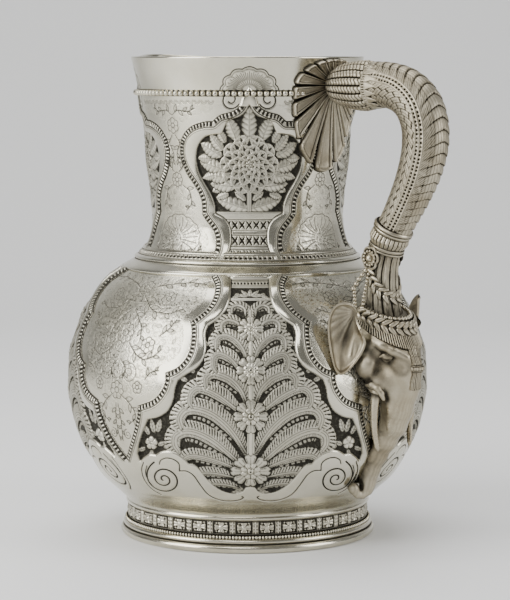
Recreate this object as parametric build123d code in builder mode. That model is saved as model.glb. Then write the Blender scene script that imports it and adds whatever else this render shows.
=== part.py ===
"""Silver water pitcher: a bulbous bowl on a ring foot, a flared neck, and a cast handle
that runs from a scallop shell at the lip to an elephant's head on the bowl.

Millimetres. +Z is up, the origin is the centre of the foot's resting face, and the handle
lies along +X. Every piece is soldered to its neighbours, so all of them stand still.
"""

import os
from math import asin, cos, degrees, radians, sin, sqrt

from build123d import *

# ---- Driving dimensions ---------------------------------------------------------------

height = 225.0  # resting face to lip
wall = 1.0  # raised sheet of the bowl and the neck
casting_wall = 1.6  # hollow castings of the handle

bowl_radius = 84.8  # the bowl's side is an ellipse, this wide ...
bowl_half_height = 76.8  # ... and this tall, from its widest level up
bowl_centre_z = 73.0  # height of the widest level
shoulder_z = 126.5  # where the shoulder moulding starts
bowl_floor_z = 9.5  # lowest point of the dished floor, outside

neck_waist_radius = 45.2
neck_waist_z = 147.0
neck_foot_z = 133.0  # seam between neck and bowl
neck_foot_flare = 5.6  # how far the neck's foot spreads past the waist
lip_radius = 54.8
spout_reach = 9.0  # how far the spout stands out of the lip
spout_half_width = 21.0
spout_length = 34.0  # lip down to where the spout leaves the neck
bead_wire_drop = 16.0  # lip down to the beaded wire
bead_wire_radius = 1.35

shoulder_step = 1.5  # the bowl's seat under the shoulder moulding
moulding_strip_width = 2.2  # beaded strip at the top of the moulding
moulding_strip_rise = 2.8
moulding_edge = 0.675  # the moulding's thickness at its beaded strip ...
moulding_middle = 0.87  # ... and half way out, over the bowl's seat

foot_band_radius = 57.2
foot_wall = 2.3  # thickness of the foot at its band
foot_spread = 3.1  # the base stands out of the band by this much
foot_base_height = 6.0
foot_bead_height = 2.5
foot_band_height = 6.0
foot_collar_height = 2.4

handle_top_drop = 12.4  # lip down to the axis of the handle's top
handle_reach_out = 20.5  # grip's axis at its furthest, outwards of the grip collar
handle_reach_drop = 32.0  # the level of that, below the lip
handle_turn_start = 83.0  # where the top run leaves the level, from the pitcher's axis
collar_rise = 17.8  # grip collar above the shoulder
collar_stand_off = 3.4  # grip collar's axis outside the bowl's widest radius
poll_drop = 12.5  # top of the elephant's head below the shoulder
poll_stand_off = 0.0
grip_top_radius = 8.4
grip_bend_radius = 10.0
grip_end_radius = 7.6
bulb_radius = 10.9
bulb_length = 24.0
bulb_collar_radius = 10.2
bulb_collar_length = 2.6
grip_collar_radius = 9.6
grip_collar_length = 9.0
shaft_radius = 7.0

shell_lobes = 14
shell_thickness = 2.4
shell_half_width = 18.5
shell_drop = 37.5  # fan below its hub
shell_rise = 10.6  # fan above its hub

head_forehead = 20.0  # how far the forehead stands out of the bowl
head_half_width = 16.5
trunk_root_radius = 7.0
trunk_end_radius = 3.7
trunk_drop = 39.0  # the bowl's widest level down to the curl
trunk_curl_radius = 3.6
ear_height = 33.0
ear_width = 21.0
ear_thickness = 1.6
ear_dish_radius = 24.0
ear_side = 25.0  # ear's centre from the handle's plane
tusk_drop = 40.0  # top of the head down to the tusk's root
tusk_length = 26.0
socket_length = 9.0
tusk_root_radius = 2.7
tusk_tip_radius = 0.8
tusk_side = 12.0
tassel_length = 17.0
tassel_width = 6.0
tassel_thickness = 1.6
bead_cord_radius = 1.0
leaf_cord_radius = 1.5
rosette_radius = 4.8
rosette_thickness = 2.6
rosette_drop = 10.0  # grip collar's middle down to the rosette's centre
ear_top_stand_off = 1.7  # where the bead chain meets the ear
ear_top_side = 20.0

# ---- Worked out from them -------------------------------------------------------------

foot_radius = foot_band_radius + foot_spread
foot_inner_radius = foot_band_radius - foot_wall
neck_foot_radius = neck_waist_radius + neck_foot_flare
handle_top_z = height - handle_top_drop
bead_wire_z = height - bead_wire_drop
bead_z = foot_base_height
band_z = bead_z + foot_bead_height
foot_collar_z = band_z + foot_band_height
collar_z = shoulder_z + collar_rise
collar_x = bowl_radius + collar_stand_off
poll_z = shoulder_z - poll_drop
poll_x = bowl_radius + poll_stand_off
handle_reach = collar_x + handle_reach_out
handle_reach_z = height - handle_reach_drop
tusk_top_z = poll_z - tusk_drop
trunk_tip_z = bowl_centre_z - trunk_drop
ear_top_x = bowl_radius + ear_top_stand_off

# Below its widest level the bowl is an ellipse that comes down on the foot's inner edge.
seat_share = foot_inner_radius / bowl_radius
bowl_lower_half = (bowl_centre_z - foot_collar_z) / sqrt(1 - seat_share * seat_share)


def bowl_radius_at(z, inset=0.0):
    """Radius of the bowl's elliptical side at a height, for the outside or an inset wall."""
    half = bowl_half_height if z > bowl_centre_z else bowl_lower_half
    share = (z - bowl_centre_z) / (half - inset)
    return (bowl_radius - inset) * sqrt(1 - share * share)


def bowl_side(low_z, high_z, inset=0.0):
    """The bowl's side from a height below its widest level to one above. Inside a BuildLine."""
    for z, half in ((low_z, bowl_lower_half), (high_z, bowl_half_height)):
        angle = degrees(asin((z - bowl_centre_z) / (half - inset)))
        EllipticalCenterArc(
            (0, bowl_centre_z),
            bowl_radius - inset,
            half - inset,
            start_angle=min(angle, 0),
            arc_size=abs(angle),
        )


def neck_outline(offset):
    """The neck's side from its foot to the lip, moved outwards by offset. Inside a BuildLine."""
    flare = TangentArc(
        (neck_waist_radius + offset, neck_waist_z),
        (neck_foot_radius + offset, neck_foot_z),
        tangent=(0, -1),
    )
    rise = height - neck_waist_z
    spread = lip_radius - neck_waist_radius
    side = Spline(
        (neck_waist_radius + offset, neck_waist_z),
        (neck_waist_radius + 0.17 * spread + offset, neck_waist_z + 0.37 * rise),
        (neck_waist_radius + 0.56 * spread + offset, neck_waist_z + 0.75 * rise),
        (lip_radius + offset, height),
        tangents=((0, 1), (0.21, 1)),
    )
    return flare, side


def neck_radius_at(z):
    """Outside radius of the neck between its waist and the lip, read off its own outline."""
    with BuildLine() as line:
        neck_outline(0)
    cut = line.line.edges().sort_by(Axis.Y)[-1] & Edge.make_line((0, z), (bowl_radius, z))
    return cut.vertices()[0].X if hasattr(cut, "vertices") else cut.X


# ---- Bowl, neck and their envelopes -----------------------------------------------------

with BuildPart() as bowl_envelope:
    with BuildSketch(Plane.XZ):
        with BuildLine():
            top_radius = bowl_radius_at(shoulder_z)
            floor_radius = foot_inner_radius - 0.3
            floor_edge_z = bowl_centre_z - bowl_lower_half * sqrt(
                1 - (floor_radius / bowl_radius) ** 2
            )
            bowl_side(floor_edge_z, shoulder_z)
            Polyline(
                (top_radius, shoulder_z),
                (top_radius - shoulder_step, shoulder_z),
                (neck_foot_radius, neck_foot_z),
                (0, neck_foot_z),
                (0, bowl_floor_z),
            )
            ThreePointArc(
                (0, bowl_floor_z),
                (0.55 * floor_radius, bowl_floor_z + 0.3 * (floor_edge_z - bowl_floor_z)),
                (floor_radius, floor_edge_z),
            )
        make_face()
    revolve(axis=Axis.Z)

with BuildPart() as bowl:
    add(bowl_envelope.part)
    with BuildSketch(Plane.XZ):
        with BuildLine():
            inner_top = bowl_radius_at(shoulder_z - wall, wall) - shoulder_step - wall
            inner_floor = floor_radius - wall
            inner_edge_z = bowl_centre_z - (bowl_lower_half - wall) * sqrt(
                1 - (inner_floor / (bowl_radius - wall)) ** 2
            )
            bowl_side(inner_edge_z, shoulder_z - wall, wall)
            Polyline(
                (bowl_radius_at(shoulder_z - wall, wall), shoulder_z - wall),
                (inner_top, shoulder_z - wall),
                (neck_foot_radius - 2 * wall, neck_foot_z - wall),
                (neck_foot_radius - 2 * wall, neck_foot_z + wall),
                (0, neck_foot_z + wall),
                (0, bowl_floor_z + wall),
            )
            ThreePointArc(
                (0, bowl_floor_z + wall),
                (0.55 * inner_floor, bowl_floor_z + wall + 0.3 * (inner_edge_z - bowl_floor_z - wall)),
                (inner_floor, inner_edge_z),
            )
        make_face()
    revolve(axis=Axis.Z, mode=Mode.SUBTRACT)
bowl.part.label = "bowl"


def neck_solid(inset):
    """The neck with its pulled spout, filled, with every wall moved inwards by inset."""
    spout_foot_z = height - spout_length
    spout_foot_x = neck_radius_at(spout_foot_z) - 6.0
    with BuildPart() as solid:
        with BuildSketch(Plane.XZ):
            with BuildLine():
                neck_outline(-inset)
                Polyline(
                    (lip_radius - inset, height),
                    (0, height),
                    (0, neck_foot_z),
                    (neck_foot_radius - inset, neck_foot_z),
                )
            make_face()
        revolve(axis=Axis.Z)
        with BuildSketch(Plane.XY.offset(height)):
            with Locations((spout_half_width - lip_radius - spout_reach, 0)):
                Circle(spout_half_width - inset)
        with BuildSketch(Plane.XY.offset(spout_foot_z)):
            with Locations((-spout_foot_x, 0)):
                Circle(5.0 - inset)
        loft()
    return solid


neck_envelope = neck_solid(0)

with BuildPart() as neck:
    add(neck_envelope.part)
    add(neck_solid(wall).part, mode=Mode.SUBTRACT)
neck.part.label = "neck"

# ---- Mouldings and wires that ring the body ---------------------------------------------

seat_outer = bowl_radius_at(shoulder_z) - shoulder_step


def seat_z_at(radius):
    """Height of the bowl's sloping seat for the moulding, between the neck and the step."""
    share = (radius - neck_foot_radius) / (seat_outer - neck_foot_radius)
    return neck_foot_z - share * (neck_foot_z - shoulder_z)


strip_outer = neck_foot_radius + moulding_strip_width
strip_low_z = seat_z_at(strip_outer) + moulding_edge

with BuildPart() as shoulder_moulding:
    with BuildSketch(Plane.XZ):
        with BuildLine():
            edge_radius = bowl_radius_at(shoulder_z)
            middle_radius = 0.55 * strip_outer + 0.45 * edge_radius
            Polyline(
                (edge_radius, shoulder_z),
                (seat_outer, shoulder_z),
                (neck_foot_radius, neck_foot_z),
                (neck_foot_radius, neck_foot_z + 0.2),
                (strip_outer, strip_low_z),
            )
            Spline(
                (strip_outer, strip_low_z),
                (middle_radius, seat_z_at(middle_radius) + moulding_middle),
                (edge_radius, shoulder_z),
            )
        make_face()
    revolve(axis=Axis.Z)
    add(bowl_envelope.part, mode=Mode.SUBTRACT)
shoulder_moulding.part.label = "shoulder_moulding"

with BuildPart() as shoulder_bead_strip:
    with BuildSketch(Plane.XZ):
        with BuildLine():
            Polyline(
                (neck_foot_radius, neck_foot_z + 0.2),
                (strip_outer, strip_low_z),
                (strip_outer - 0.2, strip_low_z + 0.8),
                (neck_foot_radius - 0.6, neck_foot_z + moulding_strip_rise),
                (neck_foot_radius - 4, neck_foot_z + moulding_strip_rise),
                (neck_foot_radius - 4, neck_foot_z + 0.2),
                close=True,
            )
        make_face()
    revolve(axis=Axis.Z)
    add(neck_envelope.part, mode=Mode.SUBTRACT)
shoulder_bead_strip.part.label = "shoulder_bead_strip"

# The foot is a stack of rings, from the resting face up to the bowl.

with BuildPart() as foot_base:
    with BuildSketch(Plane.XZ):
        with BuildLine():
            torus_top = 0.62 * foot_base_height
            Polyline(
                (foot_inner_radius, 0),
                (foot_radius - 0.8, 0),
            )
            ThreePointArc(
                (foot_radius - 0.8, 0),
                (foot_radius, 0.5 * torus_top),
                (foot_radius - 0.8, torus_top),
            )
            Polyline(
                (foot_radius - 0.8, torus_top),
                (foot_radius - 1.4, torus_top),
                (foot_radius - 1.4, torus_top + 0.5),
                (foot_radius - 0.9, torus_top + 0.5),
                (foot_radius - 1.1, foot_base_height),
                (foot_inner_radius, foot_base_height),
                (foot_inner_radius, 0),
            )
        make_face()
    revolve(axis=Axis.Z)
foot_base.part.label = "foot_base"

with BuildPart() as foot_bead_strip:
    with BuildSketch(Plane.XY.offset(bead_z)):
        Circle(foot_band_radius + 0.7)
        Circle(foot_inner_radius, mode=Mode.SUBTRACT)
    extrude(amount=foot_bead_height)
foot_bead_strip.part.label = "foot_bead_strip"

with BuildPart() as foot_band:
    with BuildSketch(Plane.XY.offset(band_z)):
        Circle(foot_band_radius)
        Circle(foot_inner_radius, mode=Mode.SUBTRACT)
    extrude(amount=foot_band_height)
    add(bowl_envelope.part, mode=Mode.SUBTRACT)
foot_band.part.label = "foot_band"

with BuildPart() as foot_collar:
    with BuildSketch(Plane.XY.offset(foot_collar_z)):
        Circle(foot_band_radius + 0.5)
        Circle(foot_inner_radius, mode=Mode.SUBTRACT)
    extrude(amount=foot_collar_height)
    fillet(foot_collar.edges().group_by(Axis.Z)[-1].sort_by(SortBy.LENGTH)[-1], radius=1.0)
    add(bowl_envelope.part, mode=Mode.SUBTRACT)
foot_collar.part.label = "foot_collar"

# ---- Handle: the axis, then the pieces strung along it ------------------------------------

with BuildLine(Plane.XZ) as top_run:
    Line((0, handle_top_z), (handle_turn_start, handle_top_z))

with BuildLine(Plane.XZ) as grip_axis:
    Spline(
        (handle_turn_start, handle_top_z),
        (handle_reach, handle_reach_z),
        (collar_x, collar_z),
        (poll_x, poll_z),
        tangents=((1, 0), (0, -1), (-0.42, -1), (0.12, -1)),
    )

hub_x = neck_radius_at(handle_top_z) + shell_thickness
bulb_end_x = hub_x + bulb_length
grip_start_x = bulb_end_x + bulb_collar_length


def axis_plane(share):
    """A plane square to the grip's axis, at a share of its length."""
    curve = grip_axis.line
    return Plane(origin=curve @ share, x_dir=(0, 1, 0), z_dir=curve % share)


def share_at_height(z):
    """The share of the grip's axis where it comes down past a height."""
    curve = grip_axis.line
    low, high = 0.0, 1.0
    for _ in range(40):
        middle = 0.5 * (low + high)
        low, high = (middle, high) if (curve @ middle).Z > z else (low, middle)
    return low


collar_start = share_at_height(collar_z + 0.5 * grip_collar_length)
collar_end = share_at_height(collar_z - 0.5 * grip_collar_length)


def grip_radius_at(share):
    """The grip swells from its collar to the bend, and thins to its lower end."""
    bend = share_at_height(handle_reach_z)
    if share < bend:
        t = share / bend
        return grip_top_radius + 0.4 + (grip_bend_radius - grip_top_radius - 0.4) * t
    t = min(1.0, (share - bend) / (0.85 * (collar_start - bend)))
    return grip_bend_radius + (grip_end_radius - grip_bend_radius) * t


def grip_solid(inset):
    """The grip's loft from its top collar to its lower one, with every radius reduced."""
    shares = [collar_start * k / 8 for k in range(9)]
    with BuildPart() as tube:
        with BuildSketch(Plane.YZ.offset(grip_start_x)):
            with Locations((0, handle_top_z)):
                Circle(grip_top_radius - inset)
        for share in shares:
            with BuildSketch(axis_plane(share)):
                Circle(grip_radius_at(share) - inset)
        loft()
    return tube


with BuildPart() as grip:
    add(grip_solid(0).part)
    add(grip_solid(casting_wall).part, mode=Mode.SUBTRACT)
grip.part.label = "grip"

with BuildPart() as bulb:
    with BuildSketch(Plane.XZ):
        with BuildLine():
            Polyline(
                (bulb_end_x, handle_top_z + 0.78 * bulb_radius),
                (bulb_end_x, handle_top_z),
                (hub_x, handle_top_z),
                (hub_x, handle_top_z + 0.72 * bulb_radius),
            )
            Spline(
                (hub_x, handle_top_z + 0.72 * bulb_radius),
                (0.5 * (hub_x + bulb_end_x), handle_top_z + bulb_radius),
                (bulb_end_x, handle_top_z + 0.78 * bulb_radius),
            )
        make_face()
    revolve(axis=Axis((0, 0, handle_top_z), (1, 0, 0)))
bulb.part.label = "bulb"

with BuildPart() as bulb_collar:
    with BuildSketch(Plane.YZ.offset(bulb_end_x)):
        with Locations((0, handle_top_z)):
            Circle(bulb_collar_radius)
    extrude(amount=bulb_collar_length)
    fillet(bulb_collar.edges().filter_by(GeomType.CIRCLE), radius=0.5)
bulb_collar.part.label = "bulb_collar"

with BuildPart() as grip_collar:
    for share, radius in (
        (collar_start, grip_collar_radius - 0.6),
        (0.5 * (collar_start + collar_end), grip_collar_radius),
        (collar_end, grip_collar_radius - 1.4),
    ):
        with BuildSketch(axis_plane(share)):
            Circle(radius)
    loft()
grip_collar.part.label = "grip_collar"

# ---- Elephant's head -----------------------------------------------------------------------

crown_z = poll_z - 6.0
crown_x = poll_x + 4.0
brow_z = poll_z - 23.0
forehead_x = bowl_radius + head_forehead
trunk_root_z = bowl_centre_z - 6.0


def head_sections(inset):
    """(height, centre x, half depth, half width) of the head and the trunk, from the crown down."""
    trunk_levels = 6
    depth = 0.5 * head_forehead + 3.0
    rows = [
        (crown_z, crown_x, shaft_radius + 0.4, shaft_radius + 1.6),
        (crown_z - 7, forehead_x - 1.05 * depth, depth, 0.84 * head_half_width),
        (brow_z, forehead_x - depth, depth, head_half_width),
        (brow_z - 9, forehead_x - depth - 2.0, depth - 1.0, 0.93 * head_half_width),
        (brow_z - 17, forehead_x - depth - 3.0, depth - 3.0, 0.66 * head_half_width),
    ]
    for k in range(trunk_levels):
        t = k / (trunk_levels - 1)
        z = trunk_root_z + (trunk_tip_z - trunk_root_z) * t
        radius = trunk_root_radius + (trunk_end_radius - trunk_root_radius) * t
        rows.append((z, bowl_radius_at(z) + (1.25 - 0.5 * t) * radius, radius, radius))
    return [(z, x, a - inset, b - inset) for z, x, a, b in rows]


def head_loft(inset):
    rows = head_sections(inset)
    with BuildPart() as solid:
        for z, x, half_depth, half_width in rows:
            with BuildSketch(Plane.XY.offset(z)):
                with Locations((x, 0)):
                    Ellipse(half_depth, half_width)
        loft()
    return solid


trunk_end_z, trunk_end_x = head_sections(0)[-1][:2]

with BuildPart() as elephant_head:
    add(head_loft(0).part)
    with BuildLine(Plane.XZ) as curl:
        CenterArc(
            (trunk_end_x - trunk_curl_radius, trunk_end_z),
            trunk_curl_radius,
            start_angle=0,
            arc_size=-200,
        )
    with BuildSketch(Plane.XY.offset(trunk_end_z)):
        with Locations((trunk_end_x, 0)):
            Circle(0.98 * trunk_curl_radius)
    sweep(path=curl.line)
    add(bowl_envelope.part, mode=Mode.SUBTRACT)
elephant_head.part.label = "elephant_head"

# The reeded shaft rises from the crown to the grip's collar.
with BuildPart() as plume_shaft:
    with BuildSketch(Plane.XY.offset(crown_z)):
        with Locations((crown_x, 0)):
            Ellipse(shaft_radius + 0.4, shaft_radius + 1.6)
    with BuildSketch(axis_plane(1.0)):
        Circle(shaft_radius)
    with BuildSketch(axis_plane(0.5 * (1 + collar_end))):
        Circle(shaft_radius)
    with BuildSketch(axis_plane(collar_end)):
        Circle(shaft_radius + 0.6)
    loft()
plume_shaft.part.label = "plume_shaft"


# ---- Shell on the neck ----------------------------------------------------------------------


def lobe_length(turn):
    """How far the shell reaches from its hub, for a turn in degrees from straight down."""
    reach = shell_drop if cos(radians(turn)) > 0 else shell_rise
    return 1 / sqrt((cos(radians(turn)) / reach) ** 2 + (sin(radians(turn)) / shell_half_width) ** 2)


with BuildPart() as shell:
    with BuildSketch(Plane.YZ.offset(neck_waist_radius - wall)):
        for k in range(shell_lobes):
            turn = 360 * (k + 0.5) / shell_lobes
            half = 0.5 * lobe_length(turn)
            angle = radians(turn - 90)
            with Locations(Location((half * cos(angle), handle_top_z + half * sin(angle)), turn - 90)):
                Ellipse(half, 0.36 * half + 1.2)
    extrude(amount=lip_radius)
    with BuildSketch(Plane.XZ):
        with BuildLine():
            neck_outline(shell_thickness)
            Polyline(
                (lip_radius + shell_thickness, height),
                (0, height),
                (0, neck_foot_z),
                (neck_foot_radius + shell_thickness, neck_foot_z),
            )
        make_face()
    revolve(axis=Axis.Z, mode=Mode.INTERSECT)
    with BuildSketch(Plane.YZ.offset(neck_waist_radius)):
        with Locations((0, handle_top_z)):
            Circle(0.72 * bulb_radius)
    extrude(amount=hub_x - neck_waist_radius)
    add(neck_envelope.part, mode=Mode.SUBTRACT)
    add(bulb.part, mode=Mode.SUBTRACT)
shell.part.label = "shell"

with BuildPart() as rim_bead_wire:
    with BuildSketch(Plane.XZ):
        with Locations((neck_radius_at(bead_wire_z) + 0.55 * bead_wire_radius, bead_wire_z)):
            Circle(bead_wire_radius)
    revolve(axis=Axis.Z)
    add(neck_envelope.part, mode=Mode.SUBTRACT)
    add(shell.part, mode=Mode.SUBTRACT)
rim_bead_wire.part.label = "rim_bead_wire"

# ---- Pieces soldered on the elephant's head ----------------------------------------------------


def ear_solid(side):
    """A dished ear, its hollow side turned outwards. side is 1 for the left ear, -1 for the right."""
    lean = 24 * side
    face = Plane(
        origin=(bowl_radius + 3.5, side * ear_side, poll_z - 0.5 * ear_height),
        x_dir=(-sin(radians(lean)), cos(radians(lean)), 0),
        z_dir=(cos(radians(lean)), sin(radians(lean)), 0),
    )
    with BuildPart() as dish:
        with BuildSketch(face.offset(-ear_dish_radius)):
            Ellipse(0.5 * ear_width, 0.5 * ear_height)
        extrude(amount=2 * ear_dish_radius)
        with Locations(face.offset(ear_dish_radius).location):
            Sphere(ear_dish_radius, mode=Mode.INTERSECT)
            Sphere(ear_dish_radius - ear_thickness, mode=Mode.SUBTRACT)
        with BuildSketch(face.offset(0.8 * ear_dish_radius)):
            Circle(2 * ear_dish_radius)
        extrude(amount=2 * ear_dish_radius, mode=Mode.SUBTRACT)
        add(elephant_head.part, mode=Mode.SUBTRACT)
        add(bowl_envelope.part, mode=Mode.SUBTRACT)
    return dish


def tusk_axis(side):
    """The tusk's arc, from inside the socket to its tip."""
    start = (forehead_x - 12, side * tusk_side, tusk_top_z + 4)
    middle = (forehead_x - 9, side * (tusk_side + 1.6), tusk_top_z - 0.45 * tusk_length)
    end = (forehead_x - 12, side * (tusk_side + 2.4), tusk_top_z - tusk_length)
    return start, middle, end


def tusk_solid(side):
    with BuildPart() as solid:
        with BuildLine() as path:
            ThreePointArc(*tusk_axis(side))
        curve = path.line
        for share, radius in (
            (0.0, tusk_root_radius),
            (0.5, 0.75 * tusk_root_radius),
            (1.0, tusk_tip_radius),
        ):
            with BuildSketch(Plane(origin=curve @ share, x_dir=(0, 1, 0), z_dir=curve % share)):
                Circle(radius)
        loft()
        add(elephant_head.part, mode=Mode.SUBTRACT)
    return solid


def socket_solid(side, tusk):
    """The short collar that the tusk comes out of, under the cheek."""
    with BuildPart() as solid:
        start, middle, _ = tusk_axis(side)
        direction = Vector(middle) - Vector(start)
        place = Plane(origin=start, z_dir=direction)
        with BuildSketch(place):
            Circle(tusk_root_radius + 2.4)
        with BuildSketch(place.offset(socket_length)):
            Circle(tusk_root_radius + 1.0)
        loft()
        add(elephant_head.part, mode=Mode.SUBTRACT)
        add(tusk.part, mode=Mode.SUBTRACT)
        add(bowl_envelope.part, mode=Mode.SUBTRACT)
    return solid


def band_on_head(middle_z, width, thickness, tilt):
    """A band laid over the head's front: the head made thicker, cut to a tilted slab."""
    with BuildPart() as band:
        add(head_loft(-thickness).part)
        with Locations(Location((crown_x, 0, middle_z), (0, tilt, 0))):
            Box(4 * head_half_width, 6 * head_half_width, width, mode=Mode.INTERSECT)
        with Locations((crown_x + 4 * head_half_width, 0, middle_z)):
            Box(8 * head_half_width, 6 * head_half_width, 4 * head_half_width, mode=Mode.INTERSECT)
        add(elephant_head.part, mode=Mode.SUBTRACT)
        add(bowl_envelope.part, mode=Mode.SUBTRACT)
    return band


ear_left = ear_solid(1)
ear_left.part.label = "ear_left"
ear_right = ear_solid(-1)
ear_right.part.label = "ear_right"

tusk_left = tusk_solid(1)
tusk_left.part.label = "tusk_left"
tusk_right = tusk_solid(-1)
tusk_right.part.label = "tusk_right"

tusk_socket_left = socket_solid(1, tusk_left)
tusk_socket_left.part.label = "tusk_socket_left"
tusk_socket_right = socket_solid(-1, tusk_right)
tusk_socket_right.part.label = "tusk_socket_right"

headcloth_fringe = band_on_head(brow_z + 11.5, 3.0, 1.3, 12)
headcloth_fringe.part.label = "headcloth_fringe"

bead_swag = band_on_head(brow_z + 6.0, 2 * bead_cord_radius, 1.2, 16)
bead_swag.part.label = "bead_swag"

with BuildPart() as forehead_tassel:
    add(head_loft(-tassel_thickness).part)
    with Locations((forehead_x, 0, brow_z + 3.5 - 0.5 * tassel_length)):
        Box(20, tassel_width, tassel_length, mode=Mode.INTERSECT)
    add(elephant_head.part, mode=Mode.SUBTRACT)
    add(bead_swag.part, mode=Mode.SUBTRACT)
forehead_tassel.part.label = "forehead_tassel"

with BuildPart() as leaf_garland:
    with BuildSketch(Plane.XY.offset(crown_z - leaf_cord_radius)):
        with Locations((crown_x, 0)):
            Ellipse(shaft_radius + 2.4, shaft_radius + 3.6)
    extrude(amount=2 * leaf_cord_radius)
    add(elephant_head.part, mode=Mode.SUBTRACT)
    add(plume_shaft.part, mode=Mode.SUBTRACT)
    add(bowl_envelope.part, mode=Mode.SUBTRACT)
leaf_garland.part.label = "leaf_garland"


def rosette_solid(side):
    """A small disc on the side of the shaft, just under the grip's collar."""
    centre = grip_axis.line @ share_at_height(collar_z - rosette_drop)
    with BuildPart() as disc:
        with BuildSketch(Plane.XZ.offset(-side * (shaft_radius - 2.0))):
            with Locations((centre.X, centre.Z)):
                Circle(rosette_radius)
        extrude(amount=-side * (rosette_thickness + 2.0))
        add(plume_shaft.part, mode=Mode.SUBTRACT)
        add(grip_collar.part, mode=Mode.SUBTRACT)
    return disc


def chain_solid(side, rosette, ear):
    """A bead string from the rosette's lower edge to the top of the ear."""
    centre = grip_axis.line @ share_at_height(collar_z - rosette_drop)
    start = (centre.X, side * (shaft_radius + 1.0), centre.Z - rosette_radius + 0.6)
    end = (ear_top_x, side * ear_top_side, poll_z - 1.4)
    middle = (0.5 * (start[0] + end[0]), side * (shaft_radius + 4.4), 0.4 * start[2] + 0.6 * end[2])
    with BuildPart() as cord:
        with BuildLine() as path:
            ThreePointArc(start, middle, end)
        with BuildSketch(Plane(origin=start, z_dir=path.line % 0)):
            Circle(bead_cord_radius)
        sweep()
        for piece in (rosette, ear, plume_shaft, leaf_garland, elephant_head, bowl_envelope):
            add(piece.part, mode=Mode.SUBTRACT)
    return cord


rosette_left = rosette_solid(1)
rosette_left.part.label = "rosette_left"
rosette_right = rosette_solid(-1)
rosette_right.part.label = "rosette_right"
bead_chain_left = chain_solid(1, rosette_left, ear_left)
bead_chain_left.part.label = "bead_chain_left"
bead_chain_right = chain_solid(-1, rosette_right, ear_right)
bead_chain_right.part.label = "bead_chain_right"

# ---- One file for each piece --------------------------------------------------------------------

pieces = (
    bowl, neck, rim_bead_wire, shoulder_bead_strip, shoulder_moulding,
    foot_base, foot_bead_strip, foot_band, foot_collar,
    shell, bulb, bulb_collar, grip, grip_collar, rosette_left, rosette_right, plume_shaft,
    elephant_head, ear_left, ear_right, tusk_socket_left, tusk_socket_right, tusk_left, tusk_right,
    headcloth_fringe, forehead_tassel, bead_swag, bead_chain_left, bead_chain_right, leaf_garland,
)
os.makedirs("parts", exist_ok=True)
for piece in pieces:
    export_step(piece.part, f"parts/{piece.part.label}.step")
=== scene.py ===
"""Silver water pitcher: repousse body, stamped ring foot, cast handle with an elephant's head.

Metres in the part's own frame: +Z up, the foot rests on z = 0, the handle lies along +X.
Sizes below are written in millimetres and turned to metres when a mesh is made.
"""

from math import atan2, cos, pi, radians, sin, sqrt, tau

import bpy
import numpy as np
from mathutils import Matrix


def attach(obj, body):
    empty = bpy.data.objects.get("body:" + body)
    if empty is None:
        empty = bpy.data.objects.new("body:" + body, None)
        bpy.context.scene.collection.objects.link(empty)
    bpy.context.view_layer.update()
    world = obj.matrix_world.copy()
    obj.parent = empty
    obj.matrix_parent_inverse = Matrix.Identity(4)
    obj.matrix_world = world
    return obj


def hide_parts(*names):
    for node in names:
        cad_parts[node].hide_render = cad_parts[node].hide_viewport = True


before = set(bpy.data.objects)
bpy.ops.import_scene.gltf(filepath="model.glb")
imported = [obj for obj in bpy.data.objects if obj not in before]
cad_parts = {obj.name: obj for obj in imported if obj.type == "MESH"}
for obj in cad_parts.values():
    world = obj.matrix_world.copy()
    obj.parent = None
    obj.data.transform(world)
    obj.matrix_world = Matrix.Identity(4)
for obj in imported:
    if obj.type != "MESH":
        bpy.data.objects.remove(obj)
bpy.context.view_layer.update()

MM = 0.001
RNG = np.random.default_rng(7)

# ---- Sizes of the pitcher, mm --------------------------------------------------------------------

LIP_Z = 225.0
BEAD_WIRE_Z = 209.0
WALL = 1.1
BEAD_WIRE_RADIUS, BEAD_RADIUS, BEADS_ROUND = 52.55, 1.36, 113
PUNCHES_ROUND = 142  # square punches in the strip at the neck's foot
CROSSES_ROUND = 34  # crosses in the foot's stamped band
FOOT_BAND_RADIUS = 57.55
FOOT_BEAD_RING, FOOT_BEAD_Z, FOOT_BEAD_RADIUS, FOOT_BEADS = 57.95, 7.15, 0.74, 240
GROUND_DEPTH = 0.95  # how far the dark grounds are sunk
PUNCH_PITCH = 1.72
NECK_SWELL, BOWL_SWELL = 0.9, 1.5  # how far the polished borders stand out
MATTING, STIPPLE = 0.7, 0.45  # spacing of the punch marks in the dark grounds and satin fields
INK = 0.88  # how dark the engraved sprays are
CELL = 0.30  # spacing of the chased surface's vertices
PANEL_AT = -pi / 4  # one of the four chased panels, from the handle round the axis

# Radius and height down the outside of the neck and the bowl.
NECK_SIDE = [(54.8, 225), (52.6, 216), (51.3, 209), (50.1, 200.4), (48.0, 183.4), (46.6, 169.2),
             (45.8, 155), (45.5, 147), (46.6, 141), (48.6, 136.4), (50.6, 133)]
BOWL_SIDE = [(58.4, 126.7), (62.2, 123.9), (66.4, 120.9), (71.6, 115.2), (77.2, 106.8),
             (81.9, 95.5), (84.6, 84.1), (85.2, 74.2), (84.5, 64.3), (82.2, 52.9), (77.5, 41.6),
             (70.2, 30.3), (64.6, 24.4), (58.9, 18.6), (57.4, 16.2)]

# ---- Small tools ---------------------------------------------------------------------------------


def smooth_path(points, step):
    """A Catmull-Rom curve through points, resampled to a spacing of about step."""
    p = np.asarray(points, float)
    p = np.vstack([2 * p[0] - p[1], p, 2 * p[-1] - p[-2]])
    t = np.linspace(0, 1, 24, endpoint=False)[:, None]
    parts = []
    for a, b, c, d in zip(p[:-3], p[1:-2], p[2:-1], p[3:]):
        parts.append(0.5 * (2 * b + (c - a) * t + (2 * a - 5 * b + 4 * c - d) * t**2
                            + (3 * b - a - 3 * c + d) * t**3))
    return resample(np.vstack(parts + [p[-2:-1]]), step)


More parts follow.
